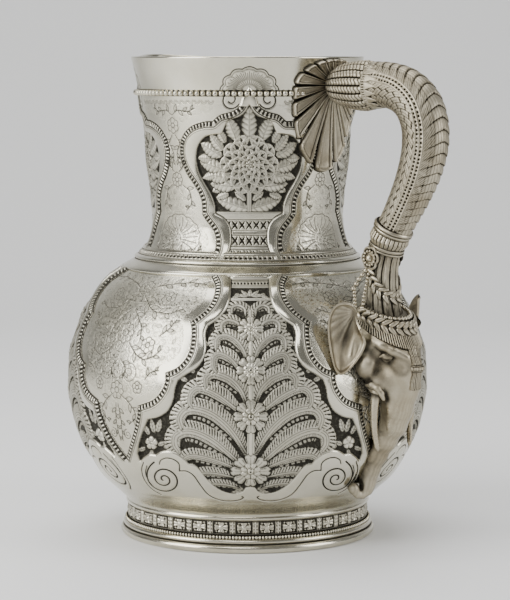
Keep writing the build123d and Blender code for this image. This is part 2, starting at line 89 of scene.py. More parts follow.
def run_along(path):
    """Length along a path at each of its points."""
    return np.concatenate([[0], np.cumsum(np.linalg.norm(np.diff(path, axis=0), axis=1))])


def resample(points, step):
    """Points at even spacing along a polyline."""
    points = np.asarray(points, float)
    run = run_along(points)
    count = max(2, int(round(run[-1] / step)) + 1)
    at = np.linspace(0, run[-1], count)
    return np.stack([np.interp(at, run, points[:, k]) for k in range(points.shape[1])], axis=1)


def step_up(x, low, high):
    """0 below low, 1 above high, smooth between."""
    t = np.clip((x - low) / (high - low), 0, 1)
    return t * t * (3 - 2 * t)


def line_mark(distance, half_width, soft=0.18):
    """1 on a line of a half width, fading to 0 beside it."""
    return 1 - step_up(np.abs(distance), half_width - soft, half_width + soft)


def hump(x, middle, width):
    """1 at the middle, falling away on both sides."""
    return np.exp(-(((x - middle) / width) ** 2))


def off_middle(x):
    """How far each value is from the middle of its repeat, from 0 to a half."""
    return np.abs(x % 1 - 0.5)


def around(count):
    """Even angles round the axis."""
    return tau * np.arange(count) / count


def unit(v):
    """Rows of v, each made one long."""
    return v / np.linalg.norm(v, axis=1)[:, None]


def circling(x0, y0, turn, wide, high=None):
    """Points round a centre, turning clockwise from straight up."""
    high = wide if high is None else high
    return np.stack([x0 + wide * np.sin(turn), y0 + high * np.cos(turn)], 1)


def hash_noise(x, y):
    """Repeatable values from -1 to 1 for whole-number cells."""
    s = np.sin(x * 127.1 + y * 311.7) * 43758.5453
    return 2 * (s - np.floor(s)) - 1


# ---- Meshes from arrays --------------------------------------------------------------------------


def grid_faces(rows, columns, closed=False):
    """The quads of a grid of points, joined round to its first column if closed."""
    R, C = np.meshgrid(np.arange(rows - 1), np.arange(columns if closed else columns - 1),
                       indexing="ij")
    R2, C2 = R + 1, (C + 1) % columns
    return np.stack([R * columns + C, R * columns + C2, R2 * columns + C2, R2 * columns + C],
                    -1).reshape(-1, 4)


class Shape:
    """Vertices in mm, quads and a darkening value for every vertex, gathered for one piece."""

    def __init__(self):
        self.points, self.quads, self.dark, self.count = [], [], [], 0

    def add(self, points, quads, dark):
        points = np.asarray(points, float).reshape(-1, 3)
        self.points.append(points)
        self.quads.append(np.asarray(quads) + self.count)
        self.dark.append(np.ravel(dark))
        self.count += len(points)

    def add_grid(self, grid, dark=0.0, closed=True, flip=False):
        rows, columns = grid.shape[:2]
        quads = grid_faces(rows, columns, closed)
        self.add(grid, quads[:, ::-1] if flip else quads, np.broadcast_to(dark, (rows, columns)))

    def piece(self, name, finish, *nodes):
        """Makes the object in a finish and ties it to the CAD nodes it stands for."""
        material, slot = finish
        points = np.vstack(self.points) * MM
        quads = np.vstack(self.quads).astype(np.int32)
        mesh = bpy.data.meshes.new(name)
        mesh.vertices.add(len(points))
        mesh.vertices.foreach_set("co", points.astype(np.float32).ravel())
        mesh.loops.add(quads.size)
        mesh.loops.foreach_set("vertex_index", quads.ravel())
        mesh.polygons.add(len(quads))
        mesh.polygons.foreach_set("loop_start", np.arange(0, quads.size, 4, dtype=np.int32))
        mesh.update(calc_edges=True)
        mesh.polygons.foreach_set("use_smooth", np.full(len(quads), True))
        dark = mesh.attributes.new("dark", "FLOAT", "POINT")
        dark.data.foreach_set("value", np.clip(np.concatenate(self.dark), 0, 1).astype(np.float32))
        mesh.validate()
        mesh.materials.append(material)
        piece = bpy.data.objects.new(name, mesh)
        bpy.context.collection.objects.link(piece)
        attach(piece, "root")
        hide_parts(*nodes)


def one_skin(name, finish, node, grid, dark):
    """A piece made of one grid that closes round on itself."""
    shape = Shape()
    shape.add_grid(grid, dark)
    shape.piece(name, finish, node)


def turned(profile, angles):
    """A grid of points from (radius, z) rows turned about the axis to the given angles."""
    profile = np.asarray(profile, float)
    r, z = profile[:, 0:1], profile[:, 1:2]
    return np.stack([r * np.cos(angles), r * np.sin(angles), np.repeat(z, len(angles), 1)], -1)


# ---- Materials -----------------------------------------------------------------------------------


def linear(hex_colour):
    """An sRGB hex colour as linear RGBA."""
    parts = [int(hex_colour[i : i + 2], 16) / 255 for i in (0, 2, 4)]
    return tuple(c / 12.92 if c <= 0.04045 else ((c + 0.055) / 1.055) ** 2.4 for c in parts) + (1.0,)


def wire_in(tree, kind, settings=None, **inputs):
    """Adds a shader node. Inputs are values or sockets of other nodes, by socket name or index."""
    node = tree.nodes.new(kind)
    for key, value in (settings or {}).items():
        setattr(node, key, value)
    for key, value in inputs.items():
        socket = (node.inputs[int(key[1:])] if key[0] == "i" and key[1:].isdigit()
                  else node.inputs[key.replace("_", " ")])
        if isinstance(value, bpy.types.NodeSocket):
            tree.links.new(value, socket)
        else:
            socket.default_value = value
    return node


# Patterns of the silver's skin, as repeats in a metre.
TARNISH_CLOUDS = 38.0  # drifts of thin film about 26 mm across
PITS = 900.0  # pits and grit of 1 mm, much coarser than the real ones so that they show
WIPING_LINES = 420.0  # cloth marks 2.4 mm long that lie level, also coarser than the real ones
LINES_STRETCHED = 9.0  # how many times longer the cloth marks are than their spacing up the side
HAMMER_FACETS = 120.0  # planishing marks 8 mm across


def silver(name, polished, worn, dark, gloss, satin, hammer):
    """Sterling silver. Polished on the high parts, darkened where the dark value is high, which holds
    oxide and, on the elephant's head, painted shade too; with a thin uneven tarnish, fine wiping lines
    and a slightly uneven skin."""
    material = bpy.data.materials.new(name)
    material.use_nodes = True
    tree = material.node_tree
    tree.nodes.clear()
    place = wire_in(tree, "ShaderNodeTexCoord").outputs["Object"]
    oxide_and_shade = wire_in(tree, "ShaderNodeAttribute", {"attribute_name": "dark"}).outputs["Fac"]
    cloud = wire_in(tree, "ShaderNodeTexNoise", Vector=place, Scale=TARNISH_CLOUDS, Detail=5.0,
                    Roughness=0.6).outputs["Fac"]
    speck = wire_in(tree, "ShaderNodeTexNoise", Vector=place, Scale=PITS, Detail=3.0,
                    Roughness=0.65).outputs["Fac"]
    stretched = wire_in(tree, "ShaderNodeMapping", Vector=place,
                        Scale=(1.0, 1.0, LINES_STRETCHED)).outputs["Vector"]
    wipe = wire_in(tree, "ShaderNodeTexNoise", Vector=stretched, Scale=WIPING_LINES, Detail=4.0,
                   Roughness=0.7).outputs["Fac"]
    uneven = wire_in(tree, "ShaderNodeMath", {"operation": "MULTIPLY_ADD"}, i0=speck, i1=0.22,
                     i2=oxide_and_shade).outputs[0]
    depth = wire_in(tree, "ShaderNodeMapRange", {"interpolation_type": "SMOOTHSTEP"}, Value=uneven,
                    From_Min=0.17, From_Max=1.02).outputs[0]
    film = wire_in(tree, "ShaderNodeMapRange", Value=cloud, From_Min=0.40, From_Max=0.68).outputs[0]
    metal = wire_in(tree, "ShaderNodeMix", {"data_type": "RGBA"}, Factor=film)
    metal.inputs[6].default_value = linear(polished)
    metal.inputs[7].default_value = linear(worn)
    tone = wire_in(tree, "ShaderNodeMix", {"data_type": "RGBA"}, Factor=depth)
    tree.links.new(metal.outputs[2], tone.inputs[6])
    tone.inputs[7].default_value = linear(dark)
    rough = wire_in(tree, "ShaderNodeMapRange", Value=wipe, From_Min=0.3, From_Max=0.75, To_Min=gloss,
                    To_Max=satin).outputs[0]
    rough = wire_in(tree, "ShaderNodeMath", {"operation": "MULTIPLY_ADD", "use_clamp": True},
                    i0=depth, i1=0.32, i2=rough).outputs[0]
    matted = wire_in(tree, "ShaderNodeMapRange", Value=oxide_and_shade, From_Min=0.05, From_Max=0.18, To_Min=0.0,
                     To_Max=0.20).outputs[0]
    rough = wire_in(tree, "ShaderNodeMath", {"operation": "ADD"}, i0=rough, i1=matted).outputs[0]
    skin = wire_in(tree, "ShaderNodeTexNoise", Vector=place, Scale=HAMMER_FACETS,
                   Detail=2.0).outputs["Fac"]
    low = wire_in(tree, "ShaderNodeBump", Strength=hammer, Distance=0.0006, Height=skin).outputs[0]
    fine = wire_in(tree, "ShaderNodeBump", Strength=0.10, Distance=0.0001, Height=wipe,
                   Normal=low).outputs[0]
    shader = wire_in(tree, "ShaderNodeBsdfPrincipled", Base_Color=tone.outputs[2], Metallic=1.0,
                     Roughness=rough, Normal=fine)
    out = wire_in(tree, "ShaderNodeOutputMaterial")
    tree.links.new(shader.outputs[0], out.inputs[0])
    return material


# Each finish is a material and a slot name; the pieces take only the material.
# Sheet, raised by hammer, chased and polished: bright and faintly warm, with mirror-like swellings
# beside satin fields and a blackened ground.
SHEET = (silver("chased_sterling_sheet", "D2CEBE", "C4BFAC", "37352F", gloss=0.13, satin=0.25,
                hammer=0.05), "raised_silver")
# Wire and strip, drawn and stamped: small crisp glints, with black between the beads and crosses.
WIRE = (silver("stamped_sterling_wire", "D0CBBA", "BDB7A3", "35322C", gloss=0.14, satin=0.26,
               hammer=0.04), "wire_silver")
# Castings finished by hand: a softer, warmer shine under a brown-grey film that is worn off the
# high parts.
CAST = (silver("cast_sterling_warm", "B9B19D", "978C75", "2B271F", gloss=0.20, satin=0.33, hammer=0.08),
        "cast_silver")

# ---- The chased surface --------------------------------------------------------------------------
# One eighth of the turn is worked out, from a panel's middle to the middle of the plain field
# beside it. It is mirrored to make a quarter, and the quarter repeats four times.


class Chasing:
    """Height and darkening over an eighth of a turned side. x runs from the panel's middle line,
    w from the field's middle line, and y is the level, all in mm on the metal. sunk marks the
    dark ground."""

    def __init__(self, side, level):
        self.side = side
        widest = side[:, 0].max()
        self.columns = int(round(widest * pi / 4 / CELL)) + 1
        self.angle = np.linspace(0, pi / 4, self.columns)
        self.x = (side[:, 0:1] * self.angle).ravel()
        self.w = (side[:, 0:1] * (pi / 4 - self.angle)).ravel()
        self.y = np.repeat(np.asarray(level, float)[:, None], self.columns, 1).ravel()
        self.height = np.zeros(len(self.x))
        self.dark = np.zeros(len(self.x))
        self.sunk = np.zeros(len(self.x), bool)

    def near(self, across, x0, x1, y0, y1):
        """Indices of the points in a box, and their coordinates."""
        i = np.nonzero((across > x0) & (across < x1) & (self.y > y0) & (self.y < y1))[0]
        return i, across[i], self.y[i]

    def lay(self, i, mask, height, dark):
        """Lays a form over the metal where mask is set."""
        j = i[mask]
        self.height[j] = np.broadcast_to(height, mask.shape)[mask]
        self.dark[j] = np.broadcast_to(dark, mask.shape)[mask]

    def line(self, path, half_width=0.25, depth=0.14, ink=0.7, across=None):
        """An engraved line along a path."""
        across = self.x if across is None else across
        path = resample(path, 0.4)
        reach = half_width + 0.5
        i, x, y = self.near(across, path[:, 0].min() - reach, path[:, 0].max() + reach,
                            path[:, 1].min() - reach, path[:, 1].max() + reach)
        if len(i) == 0:
            return
        d = along(path, x, y)[0]
        cut = line_mark(d, half_width)
        self.height[i] -= depth * cut
        self.dark[i] = np.maximum(self.dark[i], ink * cut)

    def grid(self):
        """The whole side as a grid of points, with the darkening."""
        rows = len(self.side)
        h, k = self.height.reshape(rows, self.columns), self.dark.reshape(rows, self.columns)
        h, k = (np.tile(np.concatenate([half[:, :0:-1], half[:, :-1]], 1), (1, 4)) for half in (h, k))
        columns = h.shape[1]
        angle = PANEL_AT - pi / 4 + around(columns)
        away = outward(self.side)
        r = self.side[:, 0:1] + away[:, 0:1] * h
        z = self.side[:, 1:2] + away[:, 1:2] * h
        return np.stack([r * np.cos(angle), r * np.sin(angle), z], -1), k


def outward(side):
    """Unit normals of a turned side, away from the axis."""
    run = np.gradient(side, axis=0)
    n = unit(np.stack([-run[:, 1], run[:, 0]], 1))
    return n * np.where(n[:, 0:1] < 0, -1, 1)


def along(path, x, y):
    """For points x, y: signed distance from a path (left of it positive), the share of its length
    at the nearest place, and the length itself. The path is a resampled polyline."""
    a, b = path[:-1], path[1:]
    best = np.full(len(x), 1e9)
    share = np.zeros(len(x))
    sign = np.zeros(len(x))
    run = run_along(path)
    chunk = max(1, int(4e6 // max(1, len(a))))
    for s in range(0, len(x), chunk):
        px, py = x[s : s + chunk, None], y[s : s + chunk, None]
        dx, dy = b[:, 0] - a[:, 0], b[:, 1] - a[:, 1]
        length2 = dx * dx + dy * dy + 1e-12
        t = np.clip(((px - a[:, 0]) * dx + (py - a[:, 1]) * dy) / length2, 0, 1)
        ex, ey = px - (a[:, 0] + t * dx), py - (a[:, 1] + t * dy)
        d2 = ex * ex + ey * ey
        k = d2.argmin(1)
        n = np.arange(len(k))
        best[s : s + chunk] = np.sqrt(d2[n, k])
        share[s : s + chunk] = (run[k] + t[n, k] * np.sqrt(length2[k])) / run[-1]
        sign[s : s + chunk] = np.sign(dx[k] * ey[n, k] - dy[k] * ex[n, k] + 1e-12)
    return best * sign, share, run[-1]


def inside(outline, x, y):
    """Whether points lie inside a closed outline."""
    a, b = outline, np.roll(outline, -1, axis=0)
    hit = np.zeros(len(x), bool)
    for (x1, y1), (x2, y2) in zip(a, b):
        if y1 == y2:
            continue
        between = (y1 > y) != (y2 > y)
        hit ^= between & (x < (x2 - x1) * (y - y1) / (y2 - y1) + x1)
    return hit


def to_middle(path):
    """A path closed along the middle line that x is measured from."""
    return np.vstack([path, [-0.01, path[-1, 1]], [-0.01, path[0, 1]]])


def joined(*runs):
    """Smooth runs that meet at cusps, as one path."""
    return np.vstack([smooth_path(run, 0.5) for run in runs])


def leaf(work, x0, y0, turn, length, width, rise, dark=0.10, veins=5, serrate=0.0, keep=None):
    """A pointed leaf on the sunk ground, turned clockwise from straight up, with its veins."""
    s, c = sin(turn), cos(turn)
    i, x, y = work.near(work.x, x0 - length, x0 + length, y0 - length, y0 + length)
    a = (x - x0) * s + (y - y0) * c
    b = (x - x0) * c - (y - y0) * s
    t = np.clip(a / length, 0, 1)
    half = 0.5 * width * np.sin(pi * t**0.85) ** 0.75 * (1 + serrate * np.sin(t * 44))
    mask = (a > 0) & (a < length) & (np.abs(b) < half)
    e = np.clip(1 - np.abs(b) / np.maximum(half, 0.05), 0, 1)
    vein = line_mark(b, 0.22, 0.2) * (t < 0.92)
    side = (np.sin((t * veins * 2 - np.abs(b) / width * 3.0) * pi) < -0.55) * (e > 0.12) * (e < 0.9)
    h = (-GROUND_DEPTH + rise * (0.35 + 0.65 * np.sqrt(e)) - 0.22 * rise * vein - 0.14 * rise * side
         - 0.18 * rise * np.sin(pi * e))
    k = dark + 0.85 * (1 - e) ** 4 + 0.42 * vein + 0.26 * side
    if keep is not None:
        mask = mask & keep[i]
    work.lay(i, mask, h, np.clip(k, 0, 1))


def disc(work, x0, y0, radius, rise, dark, pit):
    """A small dimpled dome on the sunk ground."""
    i, x, y = work.near(work.x, x0 - radius - 1, x0 + radius + 1, y0 - radius - 1, y0 + radius + 1)
    d = np.hypot(x - x0, y - y0) / radius
    h = -GROUND_DEPTH + rise * np.sqrt(np.clip(1 - d * d, 0, 1)) - pit * np.clip(1 - d * 2.5, 0, 1)
    work.lay(i, d < 1, h, dark + 0.6 * step_up(d, 0.72, 1.0) + 0.9 * (d < 0.28))


def blossom(work, x0, y0, radius, petals, rise, turn=0.0, notch=0.0, dark=0.08):
    """A ring of rounded petals round a centre on the sunk ground, each with a lifted rim."""
    i, x, y = work.near(work.x, x0 - radius, x0 + radius, y0 - radius, y0 + radius)
    d = np.hypot(x - x0, y - y0) / radius
    a = np.arctan2(x - x0, y - y0) + turn
    lobe = np.abs(np.cos(0.5 * petals * a))
    edge = 0.80 + 0.20 * lobe**0.6 - notch * step_up(lobe, 0.93, 1.0)
    e = np.clip(1 - d / edge, 0, 1)
    cleft = (1 - step_up(lobe, 0.05, 0.38)) * (d > 0.3)
    ray = (np.abs(np.sin(a * petals * 1.5)) < 0.42) * (d > 0.36) * (e > 0.16) * (radius > 4)
    h = -GROUND_DEPTH + rise * (0.45
                                + 0.55 * np.sqrt(np.clip(e * 3.5, 0,
                                                         1))) - rise * 0.5 * cleft - 0.08 * rise * ray
    k = dark + 0.6 * (1 - step_up(e, 0.0, 0.12)) + 0.6 * cleft + 0.34 * ray
    work.lay(i, d < edge, h, np.clip(k, 0, 1))


def punched_border(work, outline):
    """A row of square punches between two fine lines, just outside a cusped outline."""
    lo, hi = outline.min(0), outline.max(0)
    i, x, y = work.near(work.x, lo[0] - 4, hi[0] + 5, lo[1] - 1, hi[1] + 1)
    d, t, length = along(outline, x, y)
    count = round(length / PUNCH_PITCH)
    out = -d
    step = off_middle(t * count)
    punch = line_mark(out - 1.30, 0.86) * (1 - step_up(step, 0.28, 0.38))
    frame_lines = np.maximum(line_mark(out - 0.10, 0.28), line_mark(out - 2.60, 0.28))
    outer_line = line_mark(out - 3.45, 0.20)
    mask = (out > -0.3) & (out < 3.8) & (y < 203.4)
    j = i[mask]
    work.height[j] += (0.10 - 0.45 * punch - 0.22 * frame_lines - 0.14 * outer_line)[mask]
    ink = np.clip(0.95 * punch + 0.9 * frame_lines + 0.75 * outer_line, 0, 1)
    work.dark[j] = np.maximum(work.dark[j], ink[mask])


def raised_border(work, ground, outer, rise, tail=(), fade=(-1e3, -1e3)):
    """The polished swelling between the sunk ground and the punched border. tail closes the outer
    line round the plain metal below it, and the swelling dies away between the fade levels."""
    edge = np.vstack([outer, *tail])
    low, high = edge[-1, 1] - 0.5, outer[0, 1] + 0.5
    far = max(outer[:, 0].max(), 72 if tail else 0) + 1
    i = np.nonzero((work.y > low) & (work.y < high) & (work.x < far))[0]
    x, y = work.x[i], work.y[i]
    in_outer, in_ground = (inside(to_middle(path), x, y) for path in (edge, ground))
    d_outer = np.abs(along(outer, x, y)[0])
    d_ground = np.abs(along(ground, x, y)[0])
    band = in_outer & ~in_ground
    share = d_ground / (d_ground + d_outer + 1e-6)
    swell = np.sin(pi * np.clip(share, 0.0, 1.0)) ** 0.55
    rim = step_up(d_ground, 0.0, 0.5)
    keep = step_up(y, *fade) if tail else 1.0
    work.lay(i, band, rise * (0.25 + 0.75 * swell) * rim * keep,
             0.55 * (1 - step_up(d_ground, 0.1, 0.45)))
    return i[in_ground], d_ground[in_ground]


def sink(work, i, d_edge):
    """The sunk, matted and blackened ground of a panel."""
    mat = hash_noise(np.round(work.x[i] / MATTING), np.round(work.y[i] / MATTING))
    work.height[i] = -GROUND_DEPTH * step_up(d_edge, 0.0, 0.7) + 0.05 * mat
    work.dark[i] = 0.86 + 0.08 * mat
    work.sunk[i] = True


# ---- Neck ----------------------------------------------------------------------------------------

neck_side = smooth_path(NECK_SIDE, CELL)
neck = Chasing(neck_side, neck_side[:, 1])

# The ogee panel: the sunk ground, then the outside of the polished border round it.
NECK_GROUND = joined([(0, 203.8), (1.6, 200.8), (4.6, 198.4), (9.4, 197.2)],
                     [(9.4, 197.2), (11.2, 194), (12.6, 190.6)],
                     [(12.6, 190.6), (16, 190.4), (20.6, 189.2), (24.0, 185.6), (25.2, 180.8),
                      (24.3, 174.6), (21.6, 169.2), (18.0, 163.6), (16.0, 158.6), (15.6, 154.6)],
                     [(15.6, 154.6), (11.4, 152.2), (8.9, 148.6), (8.2, 144.4), (8.7, 139.4),
                      (11.2, 133)],)
NECK_BORDER = joined([(0, 212), (3.0, 207.4), (4.4, 203.4), (8, 200.9), (13.4, 199.3), (17.0, 196.4)],
                     [(17.0, 196.4), (21.4, 196.1), (27.6, 194.1), (32.2, 190.0), (34.1, 184.8),
                      (33.6, 178.6), (30.4, 172.2), (25.6, 166.2), (22.6, 160.4), (22.0, 153.6)],
                     [(22.0, 153.6), (19.6, 150.4), (16.6, 146.6), (15.3, 142.6), (15.8, 137.8),
                      (18.8, 133)],)
DAHLIA_Z = 176.8


# Rings of the dahlia from the outside in: tip radius, petals, petal length and half width, height.
DAHLIA_RINGS = ((13.8, 10, 4.3, 4.4, 0.80), (12.4, 10, 4.0, 3.8, 0.98), (9.5, 10, 3.2, 2.9, 1.16),
                (7.4, 10, 2.6, 2.3, 1.32), (5.1, 8, 2.0, 1.9, 1.46), (3.2, 6, 1.4, 1.4, 1.56))
# Leaves of the bouquet on one side: foot, turn from upright, length and width.
BOUQUET = ((0, 187.8, 0, 15.0, 7.6), (5.6, 187.6, 22, 11.6, 7.0), (11.0, 186.6, 30, 7.2, 4.4),
           (12.2, 183.0, 40, 9.6, 5.6), (12.6, 180.4, 60, 12.0, 7.2), (17.6, 179.4, 88, 7.0, 5.0),
           (12.0, 174.6, 74, 12.0, 7.0), (15.8, 172.0, 104, 6.4, 4.4), (9.2, 170.6, 82, 11.6, 7.2),
           (6.0, 166.6, 84, 12.4, 6.6), (12.4, 166.8, 118, 5.6, 4.2), (9.4, 163.4, 108, 6.4, 3.8),
           (0.4, 156.4, 73, 15.4, 7.2), (1.6, 160.4, 52, 6.4, 3.6))


def chase_neck():
    """The neck's panels with their bouquets, then the engraving of the plain metal between them."""
    i, d = raised_border(neck, NECK_GROUND, NECK_BORDER, NECK_SWELL)
    sink(neck, i, d)
    plain = neck.height.copy(), neck.dark.copy()
    for x0, y0, turn, length, width in BOUQUET[::-1]:
        leaf(neck, x0, y0, radians(turn), length, width, 1.0, veins=6, serrate=0.05, dark=0.12)
    i, x, _ = neck.near(neck.x, -1, 1.3, 155, 166)
    neck.lay(i, x < 1.1, 0.8 - GROUND_DEPTH,
             0.15 + 0.6 * step_up(x, 0.6, 1.1) + 0.4 * line_mark(x, 0.15))
    for n, (tip, petals, size, half, rise) in enumerate(DAHLIA_RINGS):
        for k in range(petals):
            cup(neck, tip, tau * (k + 0.5 * (n % 2 == 0)) / petals, size, half, rise - GROUND_DEPTH)
    blossom(neck, 0, DAHLIA_Z, 1.7, 6, 1.75, dark=0.1)
    disc(neck, 0, DAHLIA_Z, 0.6, 1.85, 0.2, pit=0.6)
    spill = ~neck.sunk & (neck.y < 212)
    neck.height[spill], neck.dark[spill] = plain[0][spill], plain[1][spill]
    pedestal()
    punched_border(neck, NECK_BORDER)
    volutes()
    engrave_neck_field()


def cup(work, tip, turn, size, half, top):
    """One cupped petal of the dahlia: a rounded lifted rim, hollow towards a dark pointed mark."""
    s, c = sin(turn), cos(turn)
    x0, y0 = (tip - size) * s, DAHLIA_Z + (tip - size) * c
    i, x, y = work.near(work.x, x0 - 4.5, x0 + 4.5, y0 - 4.5, y0 + 4.5)
    a = ((x - x0) * s + (y - y0) * c) / size
    b = ((x - x0) * c - (y - y0) * s) / half
    body = np.hypot(b, a)
    rim = step_up(body, 0.78, 0.88) * (1 - step_up(body, 0.94, 1.0))
    point = (np.abs(b) < 0.36 * (0.84 - a)) & (a > 0.0)
    ray = (np.abs(np.abs(b) - 0.42) < 0.07) & (a > 0.0) & (a < 0.5)
    h = top - 0.34 * (1 - step_up(body, 0.2, 0.82)) + 0.14 * rim - 0.12 * point
    k = 0.26 - 0.24 * rim + 0.10 * (1 - body) + 0.15 * line_mark(body - 0.76, 0.05,
                                                                 0.05) + 0.8 * step_up(body, 0.94, 1.0)
    k = k + 0.48 * point + 0.35 * ray
    work.lay(i, body < 1, h, np.clip(k, 0, 0.96))


def pedestal():
    """The stepped stand under the bouquet: a plain bar, and rows of lozenges on dark squares."""
    i, x, y = neck.near(neck.x, -1, 16, 133, 155.4)
    d = np.abs(along(NECK_GROUND, x, y)[0])
    keep = neck.sunk[i]
    i, x, y, d = i[keep], x[keep], y[keep], d[keep]
    h = np.full(len(i), -0.35)
    k = np.full(len(i), 0.12)
    for level in (155.2, 151.6, 146.6, 144.6, 139.7, 138.3, 134.6):
        groove = line_mark(y - level, 0.2)
        h -= 0.25 * groove
        k = np.maximum(k, 0.85 * groove)
    for low, high, pitch in ((147.3, 150.9, 3.3), (140.4, 144.0, 3.3), (135.2, 137.8, 3.0)):
        row = (y > low) & (y < high)
        v = np.abs((y - 0.5 * (low + high)) / (0.5 * (high - low)))
        u = off_middle(x / pitch + 0.5) * 2
        lens = u > 0.62 + 0.30 * v**2
        wedge = (v > 0.35 + 1.1 * u) | (u > 0.32 + 1.0 * v)
        light = lens | wedge
        h = np.where(row, np.where(light, -0.25, -0.75), h)
        k = np.where(row, np.where(light, 0.12, 0.95), k)
    edge = line_mark(d, 0.3)
    neck.lay(i, np.ones(len(i), bool), h - 0.2 * edge, np.maximum(k, 0.9 * edge))


def volutes():
    """Scrolls where the border meets the bead wire, and the engraved shell over the wire."""
    turns = np.linspace(0, 1, 60)
    r = 4.4 * (1 - 0.72 * turns)
    a = pi * (-0.35 + 2.6 * turns)
    neck.line(circling(8.6, 206.2, a, r, -r), 0.34, 0.26, 0.95)
    fan_z = BEAD_WIRE_Z + 1.6
    for lobe in range(4):
        a0, a1 = radians(lobe * 30 - 15), radians(lobe * 30 + 15)
        b = np.linspace(a0, a1, 12)
        bulge = 1 + 0.09 * np.sin(pi * (b - a0) / (a1 - a0))
        for reach, ink in ((9.6, 0.98), (8.7, 0.6)):
            neck.line(circling(0, fan_z, b, 1.28 * reach * bulge, reach * bulge), 0.26, 0.18, ink)
    for k in range(17):
        b = radians(k * 5.6)
        outer = 8.2 - 0.6 * (k % 2)
        ray = [(1.28 * t * sin(b), fan_z + t * cos(b)) for t in (4.6 if k % 2 else 2.4, outer)]
        neck.line(ray, 0.2, 0.14, 0.75)


def satin_field(work, border, top):
    """The plain field between two punched borders: a fine stippled satin that takes a grey tone."""
    i = np.nonzero((work.y < top) & (work.y > border[:, 1].min()))[0]
    x, y = work.x[i], work.y[i]
    d = np.abs(along(border, x, y)[0])
    field = ~inside(to_middle(border), x, y) & (d > 3.8)
    grain = hash_noise(np.round(x / STIPPLE), np.round(y / STIPPLE))
    j = i[field]
    work.dark[j] = np.maximum(work.dark[j], 0.13 + 0.12 * grain[field])
    work.height[j] += 0.02 * (grain[field] - 0.5)


def spray(work, path, leaves, size, ink):
    """An engraved stem with small outlined leaves off both sides, in the plain field."""
    path = smooth_path(path, 0.5)
    work.line(path, 0.22, 0.10, ink, across=work.w)
    for n in range(leaves):
        k = int((n + 1) * (len(path) - 2) / (leaves + 0.5))
        p, q = path[k], path[min(k + 1, len(path) - 1)]
        heading = atan2(q[0] - p[0], q[1] - p[1])
        turn = heading + (0.75 if n % 2 else -0.75)
        length = size * (1.15 - 0.5 * n / leaves)
        outline_leaf(work, p[0], p[1], turn, length, 0.42 * length, ink)


def tracery(work, border, top, pitch, ink):
    """Small curls and leaves that fill the field between the sprays, like close bright-cut work."""
    outline = to_middle(border)
    low = border[:, 1].min()
    levels = work.y[::work.columns]
    order = np.argsort(levels)
    for row in range(int((top - low) / pitch)):
        y = low + (row + 0.5) * pitch + RNG.uniform(-0.5, 0.5)
        seat = pi / 4 * np.interp(y, levels[order], work.side[order, 0])
        for column in range(int(seat / pitch) + 1):
            w = (column + 0.5 * (row % 2)) * pitch + RNG.uniform(-0.4, 0.4)
            turn, size = RNG.uniform(0, tau), pitch * RNG.uniform(0.36, 0.60)
            spot = np.array([seat - w]), np.array([y])
            if seat < w or inside(outline, *spot)[0] or abs(along(border, *spot)[0][0]) < 4.4 + size:
                continue
            if (row + column) % 3:
                t = np.linspace(0, 1, 14)
                bend = turn + 3.8 * t
                work.line(circling(w, y, bend, size * (1 - 0.7 * t)), 0.17, 0.08, ink, across=work.w)
            else:
                outline_leaf(work, w, y, turn, 1.5 * size, 0.75 * size, ink)


def outline_leaf(work, x0, y0, turn, length, width, ink):
    """An engraved leaf: its two sides and its vein."""
    t = np.linspace(0, 1, 14)
    a, b = length * t, 0.5 * width * np.sin(pi * t**0.9)
    s, c = sin(turn), cos(turn)
    for side in (1, -1):
        work.line(np.stack([x0 + a * s + side * b * c, y0 + a * c - side * b * s], 1), 0.20, 0.09, ink,
                  across=work.w)
    work.line([(x0, y0), (x0 + 0.8 * length * s, y0 + 0.8 * length * c)], 0.15, 0.06, 0.7 * ink,
              across=work.w)


def outline_flower(work, x0, y0, radius, petals, ink):
    """An engraved flower: its lobed edge, its eye and the folds between petals."""
    b = np.linspace(0, tau, 20 * petals)
    rim = radius * (0.82 + 0.18 * np.abs(np.cos(0.5 * petals * b)))
    work.line(circling(x0, y0, b, rim), 0.21, 0.10, ink, across=work.w)
    eye = 0.32 * radius
    work.line(circling(x0, y0, b, eye), 0.21, 0.10, ink, across=work.w)
    for k in range(petals):
        a = tau * (k + 0.5) / petals
        work.line([(x0 + eye * 1.3 * sin(a), y0 + eye * 1.3 * cos(a)),
                   (x0 + radius * 0.75 * sin(a), y0 + radius * 0.75 * cos(a))], 0.16, 0.07, ink,
                  across=work.w)


